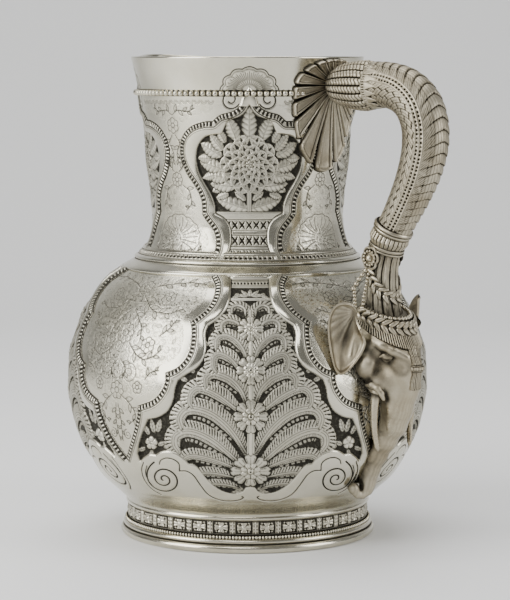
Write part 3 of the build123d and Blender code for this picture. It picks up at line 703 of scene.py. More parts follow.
def engrave_neck_field():
    """The light floral engraving between the panels, and the scallop row under the bead wire."""
    satin_field(neck, NECK_BORDER, 204.0)
    tracery(neck, NECK_BORDER, 203.0, 3.3, 0.5)
    for k in range(8):
        x0 = 1.7 + 3.4 * k
        b = np.linspace(-1.2, 1.2, 16)
        for reach in (1.7, 1.15):
            path = circling(x0, 206.4, b, reach, -1.35 * reach)
            if path[:, 0].max() < 26:
                neck.line(path, 0.2, 0.12, 0.62, across=neck.w)
    outline_flower(neck, 0, 194.2, 3.6, 6, INK)
    spray(neck, [(0, 199), (4, 201.2), (9, 200.6), (13.5, 202.2)], 5, 3.4, INK)
    spray(neck, [(1, 190), (3.2, 186), (1.0, 181), (2.6, 176.5)], 4, 3.6, INK)
    outline_flower(neck, 0, 169.4, 3.4, 8, INK)
    spray(neck, [(1.5, 173), (4.6, 176.4), (3.4, 180.6)], 3, 3.0, INK)
    spray(neck, [(3.4, 167), (7.2, 164), (8.0, 158.6), (5.2, 155.4)], 4, 3.4, INK)
    for k in range(8):
        b = radians(-6 + 18 * k)
        foot = (3.0 * sin(b), 142.6 + 3.0 * cos(b))
        tip = (11.5 * sin(b), 142.6 + 9.6 * cos(b))
        neck.line(smooth_path([foot, (0.5 * (foot[0] + tip[0]) + 0.7, 0.5 * (foot[1] + tip[1])), tip],
                              0.5), 0.16, 0.09, INK + 0.1, across=neck.w)
    b = np.linspace(-0.1, 2.5, 60)
    rim = 1 + 0.05 * np.abs(np.sin(b * 8))
    neck.line(circling(0, 142.6, b, 12.2 * rim, 10.4 * rim), 0.17, 0.1, INK + 0.1, across=neck.w)
    spray(neck, [(0.4, 134.8), (5, 137.4), (10, 136.2), (15, 138.2)], 5, 3.2, INK)


chase_neck()

# ---- Bowl ----------------------------------------------------------------------------------------
# Levels on the bowl are measured down the metal from the shoulder, so they are negative.

bowl_side = smooth_path(BOWL_SIDE, CELL)
bowl_run = run_along(bowl_side)
bowl = Chasing(bowl_side, -bowl_run)

BOWL_GROUND = joined([(8.5, -1.5), (8.6, -9), (9.2, -15.5), (11.3, -20.8), (15.0, -25.2),
                      (19.2, -28.4)], [(19.2, -28.4), (20.2, -32), (19.9, -38.5), (21.6, -44.3),
                                       (25.3, -48.4), (29.6, -51.0), (33.1, -53.5)],
                     [(33.1, -53.5), (34.5, -57.4), (35.4, -62.3), (38.1, -67.4), (42.8, -70.6),
                      (48.3, -72.1)], [(48.3, -72.1), (51.0, -77.5), (53.7, -84.3), (54.8, -90.0)],
                     [(54.8, -90.0), (53.6, -93.0), (51.6, -91.2), (48.2, -88.9), (44.6, -88.9)],
                     [(44.6, -88.9), (42.2, -87.2), (38.4, -86.3), (33.8, -87.3), (30.6, -89.8),
                      (28.2, -92.4)], [(28.2, -92.4), (25.3, -93.0), (23.0, -95.7), (19.7, -100.9),
                                       (16.3, -105.0), (11.8, -108.4), (6.7, -109.6), (3.6, -108.2),
                                       (2.2, -105.8), (0, -104.9)],)
BOWL_BORDER = joined(
    [(17.6, 0), (15.6, -6.5), (16.4, -13.8), (19.6, -19.9), (24.0, -24.2), (27.3, -26.6)],
    [(27.3, -26.6), (26.5, -31), (27.2, -38.5), (29.4, -43.6), (33.6, -47.9), (39.2, -50.4)],
    [(39.2, -50.4), (39.2, -53.8), (41.0, -58.2), (45.4, -62.8), (53.6, -66.1)],
    [(53.6, -66.1), (54.4, -71.7), (56.4, -78.4), (59.2, -85.6), (62.2, -93.2)],
)
# Flowers on the stem: level and radius.
FLOWERS = ((-29.4, 6.2), (-48.2, 7.0), (-69.0, 8.2), (-96.0, 9.6))

# The rib of each plume, from its foot at the stem over the crest to the drooping tip, then the
# width of the combed edge above the rib and of the fold below it.
PLUMES = (([(2.2, -23.0), (2.6, -19.4), (5.6, -17.6), (8.0, -18.8), (8.4, -21.4)], 2.9, 1.5),
          ([(3.6, -28.6), (6.8, -25.9), (10.4, -25.2), (12.8, -27.0), (13.0, -30.8)], 3.3, 1.8),
          ([(1.4, -44.0), (3.2, -39.0), (6.2, -34.9), (10.0, -32.6), (13.4, -32.6), (15.5, -34.8),
            (15.6, -39.0)], 3.6, 2.2),
          ([(4.4, -48.6), (7.9, -44.0), (11.2, -41.6), (14.6, -40.9), (16.9, -43.0), (16.8, -47.0),
            (15.4, -49.2)], 3.9, 2.3),
          ([(1.8, -62.4), (4.4, -56.6), (8.4, -52.3), (13.0, -50.1), (17.4, -49.4), (20.4, -51.8),
            (20.3, -56.2)], 4.3, 2.8),
          ([(3.6, -67.6), (8.4, -63.8), (13.6, -59.9), (19.2, -57.2), (24.0, -56.4), (27.3, -59.0),
            (27.8, -63.2), (26.6, -65.2)], 4.4, 2.5),
          ([(2.0, -86.0), (6.6, -77.8), (11.6, -71.7), (17.6, -67.4), (24.4, -65.4), (30.0, -66.3),
            (33.0, -70.4), (31.8, -75.4)], 4.7, 3.3),
          ([(4.6, -91.4), (10.8, -85.0), (16.8, -79.9), (23.4, -76.6), (29.6, -75.8), (34.8, -78.4),
            (35.6, -83.2), (33.4, -86.8)], 4.6, 3.6),
          ([(7.0, -94.0), (14.4, -90.6), (21.6, -88.5), (27.6, -88.2), (31.4, -90.6)], 3.6, 2.5),
          ([(7.6, -99.4), (14.6, -97.6), (20.6, -97.4), (26.0, -99.0)], 3.3, 1.9),
          ([(5.4, -105.8), (11.4, -104.0), (17.4, -103.9), (21.0, -105.4)], 2.6, 1.6),)
BARB_PITCH = 1.36
# The clouds' edges where they leave the spirals.
CLOUD_LINES = ([(32.4, -96.4), (32.6, -92.6), (35.0, -90.4), (38.6, -89.8), (41.6, -91.2),
                (42.4, -93.4)], [(32.4, -96.2), (28.6, -96.4), (25.6, -98.8), (22.4, -104.6),
                                 (19.2, -110.0), (14.6, -113.8), (9.8, -115.2), (5.2, -114.2),
                                 (3.2, -112.2), (3.8, -111.2)],
               [(51.2, -93.4), (52.4, -97.6), (51.4, -103.4), (48.0, -109.0), (43.0, -113.0)],
               [(49.2, -95.0), (50.2, -98.6), (49.4, -103.0), (46.8, -107.4)],)
# Leaves beside the plumes: foot, turn from upright, length and width.
SPRIGS = ((14.6, -25.0, 62, 5.0, 3.2), (18.8, -37.0, 60, 3.4, 2.4), (25.4, -49.6, 50, 4.2, 3.0),
          (28.8, -53.4, 70, 4.0, 2.6), (44.0, -78.0, -16, 6.6, 3.6), (45.6, -78.4, 14, 6.8, 3.4),
          (48.4, -79.6, 30, 5.6, 3.2), (43.8, -84.4, -66, 4.4, 2.8), (50.8, -86.6, 112, 4.6, 2.8),
          (47.0, -87.2, 168, 3.6, 2.6), (40.6, -85.8, -38, 4.6, 2.6), (37.4, -87.0, -60, 3.8, 2.2),
          (3.0, -107.4, 74, 6.8, 2.6), (3.6, -108.2, 108, 6.4, 2.2))


def plume(rib_points, comb_width, fold_width):
    """One drooping feather: a rib, a combed edge above it and a rolled, stippled fold below."""
    spine = smooth_path(rib_points, 0.6)
    i, x, y = bowl.near(bowl.x, spine[:, 0].min() - 6, spine[:, 0].max() + 6, spine[:, 1].min() - 6,
                        spine[:, 1].max() + 6)
    d, t, length = along(spine, x, y)
    run = t * length
    ends = np.sqrt(np.clip((length - run + 0.6) / (0.9 * comb_width), 0.0, 1))
    wide = comb_width * (0.45 + 0.55 * step_up(t, 0.0, 0.35)) * ends
    fold = fold_width * (0.5 + 0.5 * step_up(t, 0.05, 0.4)) * ends
    upper = np.clip(d / np.maximum(wide, 0.05), 0, 1.2)
    lower = np.clip(-d / np.maximum(fold, 0.05), 0, 1.2)
    barb = np.sin(tau * (run - (0.95 - 0.85 * t) * d) / BARB_PITCH)
    above = d >= 0
    mask = np.where(above, upper < 0.97 + 0.03 * barb, lower < 1)
    gap = above & (barb < -0.30 - 0.25 * (1 - upper)) & (upper > 0.24) & (upper < 0.90)
    below = np.clip(-d / np.maximum(fold, 0.05), 0, 2)
    curl = (~above & (below > 1.22) & (below < 1.62) & (t > 0.16) & (t < 0.72)
            & (np.sin(tau * run / 2.9) > -0.3))
    lines = line_mark(d - 0.55, 0.16) + line_mark(d + 0.55,
                                                  0.14) + line_mark(d + 0.55 * fold_width, 0.14)
    stipple = (np.sin(tau * run / 0.9) > 0.45) & (lower > 0.55) & (lower < 0.9)
    h = -GROUND_DEPTH + np.where(above, 0.70 + 0.42 * np.sqrt(np.clip(1 - upper, 0, 1)),
                                 0.62 + 0.40 * np.sqrt(np.clip(1 - lower**2, 0, 1)))
    h = h - 0.34 * gap - 0.10 * lines - 0.08 * stipple
    k = 0.30 + 0.62 * gap * (0.6 + 0.4 * upper) + 0.42 * lines + 0.30 * stipple
    k = k + 0.5 * step_up(lower, 0.86, 1.0) * ~above + 0.25 * (1 - step_up(t, 0.0, 0.16))
    bowl.lay(i, curl & bowl.sunk[i] & (bowl.height[i] < -0.6), -0.62, 0.42)
    bowl.lay(i, mask & bowl.sunk[i], h, np.clip(k, 0, 0.97))


def chase_bowl():
    """The bowl's plume panels, their borders and clouds, then the engraved fields."""
    i, d = raised_border(bowl, BOWL_GROUND, BOWL_BORDER, BOWL_SWELL,
                         tail=[[80, -93.2], [80, -150]], fade=(-128, -100))
    sink(bowl, i, d)
    for x0, y0, turn, length, width in SPRIGS:
        leaf(bowl, x0, y0, radians(turn), length, width, 0.8, veins=4, dark=0.22, keep=bowl.sunk)
    for one in PLUMES[::-1]:
        plume(*one)
    i, x, y = bowl.near(bowl.x, -1, 2.8, -104, -20)
    wide = 0.9 + 1.1 * (-y - 20) / 84
    bowl.lay(i, x < wide, 0.85 - GROUND_DEPTH + 0.2 * np.cos(x * 3),
             0.15 + 0.5 * line_mark(x - 0.55 * wide, 0.15) + 0.6 * step_up(x / wide, 0.8, 1))
    blossom(bowl, 47.2, -83.6, 3.4, 5, 0.95)
    disc(bowl, 47.2, -83.6, 0.9, 1.05, 0.1, pit=0.5)
    for level, radius in FLOWERS:
        blossom(bowl, 0, level, radius, 8, 1.35, notch=0.10, dark=0.24)
        blossom(bowl, 0, level, 0.50 * radius, 8, 1.65, turn=pi / 8, dark=0.04)
        disc(bowl, 0, level, 0.2 * radius, 1.85, 0.05, pit=0.6)
    collar_strip()
    punched_border(bowl, BOWL_BORDER)
    cloud_scrolls()
    engrave_bowl_field()


def collar_strip():
    """The narrow dotted strip and the leaf sprig between the shoulder and the plumes."""
    i, x, y = bowl.near(bowl.x, -1, 9.6, -16.4, -0.6)
    keep = bowl.sunk[i]
    i, x, y = i[keep], x[keep], y[keep]
    d = np.abs(along(BOWL_GROUND, x, y)[0])
    plain = (y > -7.2) | ((y < -13.2) & (y > -15.0))
    dots = line_mark(y + 4.0, 0.75) * (off_middle(x / 1.5) < 0.30)
    grooves = sum(line_mark(y - level, 0.16) for level in (-1.9, -2.6, -5.4, -6.3, -7.2, -13.2, -15.0))
    h = -0.3 - 0.35 * dots - 0.2 * grooves
    k = 0.12 + 0.85 * dots + 0.7 * grooves + 0.6 * line_mark(d, 0.3)
    bowl.lay(i, plain, h, np.clip(k, 0, 1))
    for x0, turn, length in ((0, 0, 4.6), (0.6, 42, 5.0), (1.0, 78, 6.2), (4.2, 55, 3.2),
                             (5.2, 100, 3.0)):
        leaf(bowl, x0, -12.4, radians(turn), length, 2.2, 0.7, veins=3)


def cloud_scrolls():
    """The spiral clouds cut in the polished metal at the panel's foot, and their edges."""
    t = np.linspace(0, 1, 170)
    a = radians(28) + tau * 2.3 * t
    r = 1.0 - 0.92 * t**0.82
    for shift, half, ink in ((0.0, 0.44, 0.97), (-0.11, 0.13, 0.4)):
        keep = slice(None) if shift == 0 else slice(0, 110)
        spiral = circling(40.4, -101.8, a, 10.2 * (r + shift), 10.4 * (r + shift))
        bowl.line(spiral[keep], half, 0.34 if shift == 0 else 0.14, ink)
    for path in CLOUD_LINES:
        bowl.line(smooth_path(path, 0.4), 0.30, 0.3, 0.92)


def engrave_bowl_field():
    """The sprays, flowers and curls of the bowl's plain fields."""
    satin_field(bowl, BOWL_BORDER, -1.0)
    tracery(bowl, BOWL_BORDER, -2.0, 3.9, 0.5)
    flower = ((0, -9.5, 4.2, 6), (16.5, -15, 3.6, 7), (0, -33.5, 5.2, 8), (15.0, -38.5, 3.8, 6),
              (0, -60, 4.2, 7), (12.4, -58, 2.8, 5))
    for x0, y0, radius, petals in flower:
        outline_flower(bowl, x0, y0, radius, petals, INK)
    for path, leaves, size in (
        ([(4, -10), (9, -7.4), (14, -6.0), (22, -4.6), (30, -5.6)], 7, 4.6),
        ([(2, -14), (7, -18.4), (12, -22), (21, -22.6), (27, -19.6)], 8, 5.0),
        ([(1, -22), (5, -26), (9, -31), (10, -37)], 5, 4.2),
        ([(4, -38), (9, -42.6), (14, -45), (19, -43.6), (23, -40)], 7, 4.4),
        ([(20, -34), (24, -30), (26, -25.4)], 4, 3.6),
        ([(1, -46), (4.4, -50), (3.2, -55)], 4, 4.0),
        ([(3.5, -62.4), (8.6, -66.4), (11, -71.4), (6.4, -75.6)], 6, 4.0),
        ([(16.5, -54), (19.6, -50.6), (23.5, -49.6)], 3, 3.2),
        ([(0.6, -66), (1.6, -74), (0.8, -84)], 6, 3.2),
    ):
        spray(bowl, path, leaves, size, INK)
    t = np.linspace(0, 1, 70)
    for x0, y0, size, ways in ((7.0, -52.0, 4.8, 1), (4.6, -80.5, 2.6, -1)):
        a = ways * tau * 1.6 * t
        bowl.line(circling(x0, y0, a, size * (1 - 0.85 * t)), 0.18, 0.08, INK, across=bowl.w)


chase_bowl()


# ---- The raised body -----------------------------------------------------------------------------


ROUND = np.linspace(0, tau, 384, endpoint=False)
FINE_ROUND = around(512)
SPOUT_REACH, SPOUT_SPAN, SPOUT_DEPTH = 9.0, 0.42, 34.0


def pull_spout(grid):
    """Draws the lip out into the small spout opposite the handle."""
    angle = np.arctan2(grid[..., 1], grid[..., 0])
    off = np.abs(np.abs(angle) - pi) / SPOUT_SPAN
    lift = np.exp(-1.9 * off**2) * step_up(grid[..., 2], LIP_Z - SPOUT_DEPTH, LIP_Z + 3) ** 1.3
    r = np.hypot(grid[..., 0], grid[..., 1])
    scale = (r + SPOUT_REACH * lift) / r
    out = grid.copy()
    out[..., 0] *= scale
    out[..., 1] *= scale
    out[..., 2] += 1.2 * lift
    return out


neck_grid, neck_dark = neck.grid()
lip = smooth_path([(54.75, 224.9), (54.7, 225.5), (54.1, 225.7), (53.5, 225.4), (53.2, 224.6),
                   (51.4, 216.0)], 0.4)
inner_neck = smooth_path([(r - WALL - (1.1 if z < 210 else 0.4), z) for r, z in NECK_SIDE[1:]], 1.5)
neck_shape = Shape()
neck_shape.add_grid(pull_spout(neck_grid), neck_dark)
neck_shape.add_grid(pull_spout(turned(lip, ROUND)), 0.0)
neck_shape.add_grid(pull_spout(turned(inner_neck, ROUND)), 0.12)
neck_shape.piece("neck_chased", SHEET, "neck")

bowl_grid, bowl_dark = bowl.grid()
bowl_shape = Shape()
bowl_shape.add_grid(bowl_grid, bowl_dark)
inner_bowl = smooth_path([(49.0, 134.0), (52.0, 130.0)] + [(r - 2.2, z) for r, z in BOWL_SIDE[:-3]] +
                         [(54.0, 16.4), (30, 12.4), (12, 11.2), (0.4, 11.0)], 1.5)
floor_under = smooth_path([(54.7, 14.6), (44, 12.2), (30, 10.6), (12, 9.8), (0.4, 9.6)], 1.5)
bowl_shape.add_grid(turned(inner_bowl, ROUND), 0.18)
bowl_shape.add_grid(turned(floor_under, ROUND), 0.22)
bowl_shape.piece("bowl_chased", SHEET, "bowl")

# ---- Shoulder and foot ---------------------------------------------------------------------------


def ball(shape, x, y, z, radius, dark=0.06, squash=(1, 1, 1), rows=7, columns=10):
    """A round bead, or an oval one if squash says so."""
    v = np.linspace(0.02, pi - 0.02, rows)[:, None]
    u = np.linspace(0, tau, columns, endpoint=False)
    grid = np.stack([np.sin(v) * np.cos(u) * squash[0], np.sin(v) * np.sin(u) * squash[1],
                     np.cos(v) * np.ones_like(u) * squash[2]], -1)
    shape.add_grid(grid * radius + np.array([x, y, z]), dark, flip=True)


UNDER_SHELL = 0.30  # radians each side of the handle that the shell covers


def bead_wire():
    """The run of round beads below the lip, on a thin half-sunk wire."""
    shape = Shape()
    core = [(50.9, BEAD_WIRE_Z - 1.5), (51.9, BEAD_WIRE_Z - 1.1), (52.4, BEAD_WIRE_Z),
            (52.2, BEAD_WIRE_Z + 1.1), (51.4, BEAD_WIRE_Z + 1.6)]
    shape.add_grid(pull_spout(turned(smooth_path(core, 0.3), ROUND)), 0.9)
    for k in range(BEADS_ROUND):
        a = tau * (k + 0.5) / BEADS_ROUND
        if abs(a if a < pi else a - tau) < UNDER_SHELL:
            continue
        centre = pull_spout(np.array([[[BEAD_WIRE_RADIUS * cos(a), BEAD_WIRE_RADIUS * sin(a),
                                        BEAD_WIRE_Z]]]))[0, 0]
        ball(shape, *centre, BEAD_RADIUS, 0.03, rows=10, columns=14)
    shape.piece("bead_wire", WIRE, "rim_bead_wire")


def shoulder():
    """The punched strip at the neck's foot and the plain polished moulding under it."""
    columns = PUNCHES_ROUND * 12
    profile = smooth_path([(48.3, 136.8), (48.9, 137.2), (49.4, 136.6), (49.9, 135.9), (50.9, 134.6),
                           (51.9, 133.4), (52.7, 132.8)], 0.28)
    angle = around(columns)
    run = np.linspace(0, 1, len(profile))[:, None]
    wave = off_middle(angle * PUNCHES_ROUND / tau)
    strip = line_mark((run - 0.61) * 5.6, 0.58)
    punch = strip * (1 - step_up(wave, 0.24, 0.34))
    edge = np.maximum(line_mark((run - 0.40) * 5.6, 0.2), line_mark((run - 0.82) * 5.6, 0.2))
    dip = 0.45 * punch + 0.2 * edge
    direction = np.stack([np.cos(angle), np.sin(angle), np.full(columns, 0.8)], -1)
    grid = turned(profile, angle) - dip[..., None] * direction
    one_skin("shoulder_punched_strip", WIRE, "shoulder_bead_strip", grid, 0.95 * punch + 0.85 * edge)
    moulding = smooth_path([(52.5, 133.0), (53.3, 132.6), (53.6, 131.8), (53.2, 131.3), (54.2, 130.5),
                            (56.2, 129.4), (58.1, 128.3), (58.9, 127.5), (58.9, 126.7), (58.2, 126.3)],
                           0.25)
    run = np.linspace(0, 1, len(moulding))[:, None]
    dark = 0.8 * line_mark((run - 0.24) * 10, 0.35) + 0.8 * step_up(run, 0.93, 1) + 0.03
    one_skin("shoulder_polished_moulding", SHEET, "shoulder_moulding", turned(moulding, FINE_ROUND),
             dark)


def foot():
    """The stamped foot: a rounded top, the band of crosses, the fine beads and the plain base."""
    top = smooth_path([(57.0, 17.2), (57.6, 16.9), (58.0, 16.2), (58.0, 15.4), (57.5, 14.8),
                       (57.2, 14.5)], 0.2)
    run = np.linspace(0, 1, len(top))[:, None]
    dark = 0.03 + 0.8 * step_up(run, 0.8, 1) + 0.6 * step_up(-run, -0.1, 0)
    one_skin("foot_top_moulding", WIRE, "foot_collar", turned(top, FINE_ROUND), dark)

    columns = CROSSES_ROUND * 40
    z = np.linspace(14.6, 8.4, 26)
    angle = around(columns)
    u = ((angle * CROSSES_ROUND / tau) % 1 - 0.5)[None, :] * tau * 57.2 / CROSSES_ROUND
    v = (z - 11.5)[:, None]
    broad, narrow = np.maximum(np.abs(u) / 1.25, np.abs(v)), np.minimum(np.abs(u) / 1.25, np.abs(v))
    cross = (narrow < 0.36 + 0.42 * broad) & (broad < 2.35)
    boss = np.hypot(u, v) < 0.8
    corner = np.hypot(np.abs(u) - 2.35, np.abs(v) - 1.9) < 0.34
    post = np.abs(u) > 3.75
    slot_cut = post & (np.abs(np.abs(u) - 4.60) < 0.34) & (off_middle(v / 1.55) < 0.26)
    post_edge = line_mark(np.abs(u) - 3.80, 0.22)
    rail = line_mark(np.abs(v) - 2.85, 0.22)
    h = -0.95 + (0.55 + 0.10
                 * broad) * cross + 0.35 * boss + 0.42 * corner + 0.62 * (post
                                                                          & ~slot_cut) - 0.5 * post_edge
    dark = np.where(cross | corner | (post & ~slot_cut), 0.08, 0.80)
    dark = np.maximum(dark, 0.85 * post_edge)
    arm_groove = line_mark(np.minimum(np.abs(u), np.abs(v)), 0.16) * cross * ~boss
    h = np.where(np.abs(v) > 2.9, -0.15, h) - 0.2 * rail - 0.2 * arm_groove
    dark = np.where(np.abs(v) > 2.9, 0.15, np.maximum(dark, 0.55 * arm_groove))
    dark = np.maximum(dark, 0.8 * rail)
    radius = FOOT_BAND_RADIUS + h
    grid = np.stack([radius * np.cos(angle), radius * np.sin(angle),
                     np.broadcast_to(z[:, None], radius.shape)], -1)
    one_skin("foot_band_of_crosses", WIRE, "foot_band", grid, dark)

    shape = Shape()
    bed = smooth_path([(57.5, 8.6), (57.0, 8.2), (57.2, 7.2), (57.6, 6.2), (58.4, 5.9)], 0.25)
    shape.add_grid(turned(bed, ROUND), 0.9)
    for k in range(FOOT_BEADS):
        a = tau * k / FOOT_BEADS
        ball(shape, FOOT_BEAD_RING * cos(a), FOOT_BEAD_RING * sin(a), FOOT_BEAD_Z, FOOT_BEAD_RADIUS,
             0.04, squash=(0.9, 0.9, 1.15), rows=6, columns=8)
    shape.piece("foot_fine_beads", WIRE, "foot_bead_strip")

    base = smooth_path([(57.6, 6.3), (58.5, 6.4), (59.2, 5.9), (59.4, 5.1), (59.0, 4.4), (58.4, 3.95),
                        (59.4, 3.75), (60.2, 3.1), (60.5, 2.0), (60.2, 0.9), (59.4, 0.15), (58.4, 0.0),
                        (56.0, 0.0), (55.2, 0.3), (54.9, 1.4), (54.9, 15.0)], 0.3)
    groove = hump(base[:, 1], 3.95, 0.28) * (base[:, 0] > 57.8)
    inner_face = step_up(-base[:, 0], -56.5, -55.2) * 0.3
    top_edge = hump(base[:, 1], 6.35, 0.3) * (base[:, 0] < 58.4)
    dark = (0.03 + 0.9 * groove + inner_face + 0.7 * top_edge)[:, None]
    one_skin("foot_base_torus", WIRE, "foot_base", turned(base, FINE_ROUND), dark)


bead_wire()
shoulder()
foot()

# ---- Handle: shell, bulb and grip ----------------------------------------------------------------

HUB_Z = 212.6
SHELL_FLUTES = 18
SHELL_UP, SHELL_ASIDE, SHELL_DOWN = 12.2, 20.4, 39.6


def neck_radius(z):
    """Radius of the neck's metal at a level."""
    return np.interp(z, neck_side[::-1, 1], neck_side[::-1, 0])


def shell():
    """The fluted scallop shell laid on the neck, its flutes running out from the handle's root."""
    rows, columns = 110, SHELL_FLUTES * 24
    phi = around(columns)
    run = np.linspace(0, 1, rows)[:, None] ** 0.9
    down = np.cos(phi)
    reach = np.where(down > 0, SHELL_DOWN, SHELL_UP)
    length = 1 / np.sqrt((down / reach) ** 2 + (np.sin(phi) / SHELL_ASIDE) ** 2)
    lobe = np.abs(np.cos(0.5 * SHELL_FLUTES * phi))
    length = length * (0.92 + 0.09 * np.clip(lobe * 1.6, 0, 1) ** 0.6)
    u, v = run * length * np.sin(phi), -run * length * np.cos(phi)
    z = np.clip(HUB_Z + v, 150, 224.5)
    away = run * length
    end = (1 - run) * length  # mm from the flute's round end
    groove = 1 - step_up(lobe, 0.22, 0.40)
    fillet = (line_mark(lobe - 0.52, 0.10, 0.08) * step_up(end, 0.6, 1.4)
              + line_mark(end - 1.0, 0.45, 0.3) * step_up(lobe, 0.3, 0.5))
    inner_line = (line_mark(lobe - 0.70, 0.045, 0.04)
                  + line_mark(end - 2.1, 0.16, 0.14) * step_up(lobe, 0.6, 0.7)) * step_up(end, 1.6, 2.2)
    dish = step_up(lobe, 0.6, 0.95) * step_up(end, 1.5, 5.0)
    tip = np.clip(end / 1.0, 0, 1)
    h = (2.2 + 0.55 * fillet - 0.85 * dish - 1.7 * groove * step_up(end, 0.2, 1.4)
         - 0.25 * inner_line) * np.sqrt(tip)
    h = h * (0.55 + 0.45 * step_up(away, 0.0, 6.0)) + 2.2 * hump(away, 0, 6.5)
    mat = hash_noise(np.round(u * 1.6), np.round(v * 1.6)) * 0.05
    dark = (0.20 + 0.78 * groove * step_up(run, 0.06, 0.14) + 0.55 * inner_line - 0.16 * fillet
            + 0.16 * dish + 0.6 * (1 - tip))
    r = neck_radius(z) + h + mat
    a = u / neck_radius(z)
    grid = np.stack([r * np.cos(a), r * np.sin(a), z], -1)
    dark = np.clip(dark + 0.3 * (1 - step_up(away, 4.0, 9.0)), 0, 0.97)
    one_skin("scallop_shell", CAST, "shell", grid, dark)


def tube(path, radius, angles):
    """A tube about a path of (x, z) points. Angle 0 is the side away from the pitcher."""
    tangent = unit(np.gradient(path, axis=0))
    normal = np.stack([-tangent[:, 1], tangent[:, 0]], 1)
    c, s = np.cos(angles)[None, :], np.sin(angles)[None, :]
    radius = np.broadcast_to(radius, (len(path), len(angles)))
    x = path[:, 0:1] + normal[:, 0:1] * radius * c
    z = path[:, 1:2] + normal[:, 1:2] * radius * c
    return np.stack([x, radius * s * np.ones_like(x), z], -1)


BULB_ROWS = 18


def bulb():
    """The bulb at the handle's root: lengthwise rows of small rounded ribs."""
    columns = BULB_ROWS * 16
    phi = around(columns)
    t = np.linspace(0, 1, 170)
    path = np.stack([54.6 + 25.2 * t, np.full(len(t), HUB_Z)], 1)
    swell = np.interp(path[:, 0], [54.6, 57, 61, 66, 71, 75.5, 79.8],
                      [5.2, 7.2, 8.9, 10.0, 10.7, 10.8, 10.0])
    row = np.abs(np.cos(0.5 * BULB_ROWS * phi))[None, :]
    twist = 0.25 * np.sin(BULB_ROWS * phi)[None, :]
    rib = np.abs(np.sin(pi * (12.5 * t[:, None] + twist)))
    seam = 1 - step_up(row, 0.12, 0.5)
    gap = 1 - step_up(rib, 0.15, 0.62)
    radius = swell[:, None] + 0.75 * np.sqrt(row) * (0.35 + 0.65 * np.sqrt(rib)) - 0.45 * seam
    dark = 0.16 + 0.80 * seam + 0.55 * gap * (1 - seam)
    one_skin("ribbed_bulb", CAST, "bulb", tube(path, radius, phi), dark)


# The grip's middle line as x and z, and its radius at lengths along that line.
GRIP_LINE = [(72.0, 212.8), (80, 213.2), (89, 212.4), (98, 209.6), (105, 203.8), (108.6, 195.4),
             (108.8, 186.4), (106.2, 176.4), (101.8, 166.8), (96.4, 157.4), (91.2, 149.4)]
GRIP_GIRTH = [(0, 9.3), (8, 9.5), (22, 10.1), (38, 10.5), (52, 10.3), (66, 9.6), (80, 8.6), (92, 7.8),
              (104, 7.3)]
SEAM_AT = radians(66)  # the dotted line's place round the grip
TEETH = 18
LOBE_PITCH, SCALE_PITCH, DOT_PITCH = 3.8, 4.0, 1.65  # along the grip


def bulb_collar():
    """A dark beaded ring between two thin fillets, with saw teeth pointing along the grip."""
    columns = TEETH * 24
    phi = around(columns)
    path = smooth_path([(79.4, HUB_Z), (83.6, HUB_Z), (86.6, 212.4), (89.4, 211.8)], 0.16)
    x = run_along(path)[:, None]
    saw = off_middle(phi * TEETH / tau)[None, :] * 2
    reach = 6.6 * (1 - saw) - (x - 2.9)  # mm inside the tooth's edge
    fillet = line_mark(x - 0.35, 0.32) + line_mark(x - 2.5, 0.30)
    place = (off_middle(phi * 3 * TEETH / tau) * 2.3)[None, :]
    bead = (np.abs(x - 1.42) < 0.70) * np.sqrt(np.clip(1 - place**2, 0, 1))
    past = x > 2.8
    tooth = past & (reach > 0)
    edge = tooth & (reach < 0.9)
    radius = 9.5 + (0.95 * fillet + 0.85 * bead) * ~past + np.where(tooth, 0.75 - 0.07 * (x - 2.8),
                                                                    -0.10) * past - 0.14 * edge
    dark = np.where(past, np.where(tooth, 0.22 + 0.10 * edge, 0.95),
                    0.95 - 0.82 * np.clip(fillet + bead, 0, 1))
    radius = np.where(past & ~tooth & (x > 7.0), 9.0, radius)
    one_skin("toothed_collar", CAST, "bulb_collar", tube(path, radius, phi), dark)


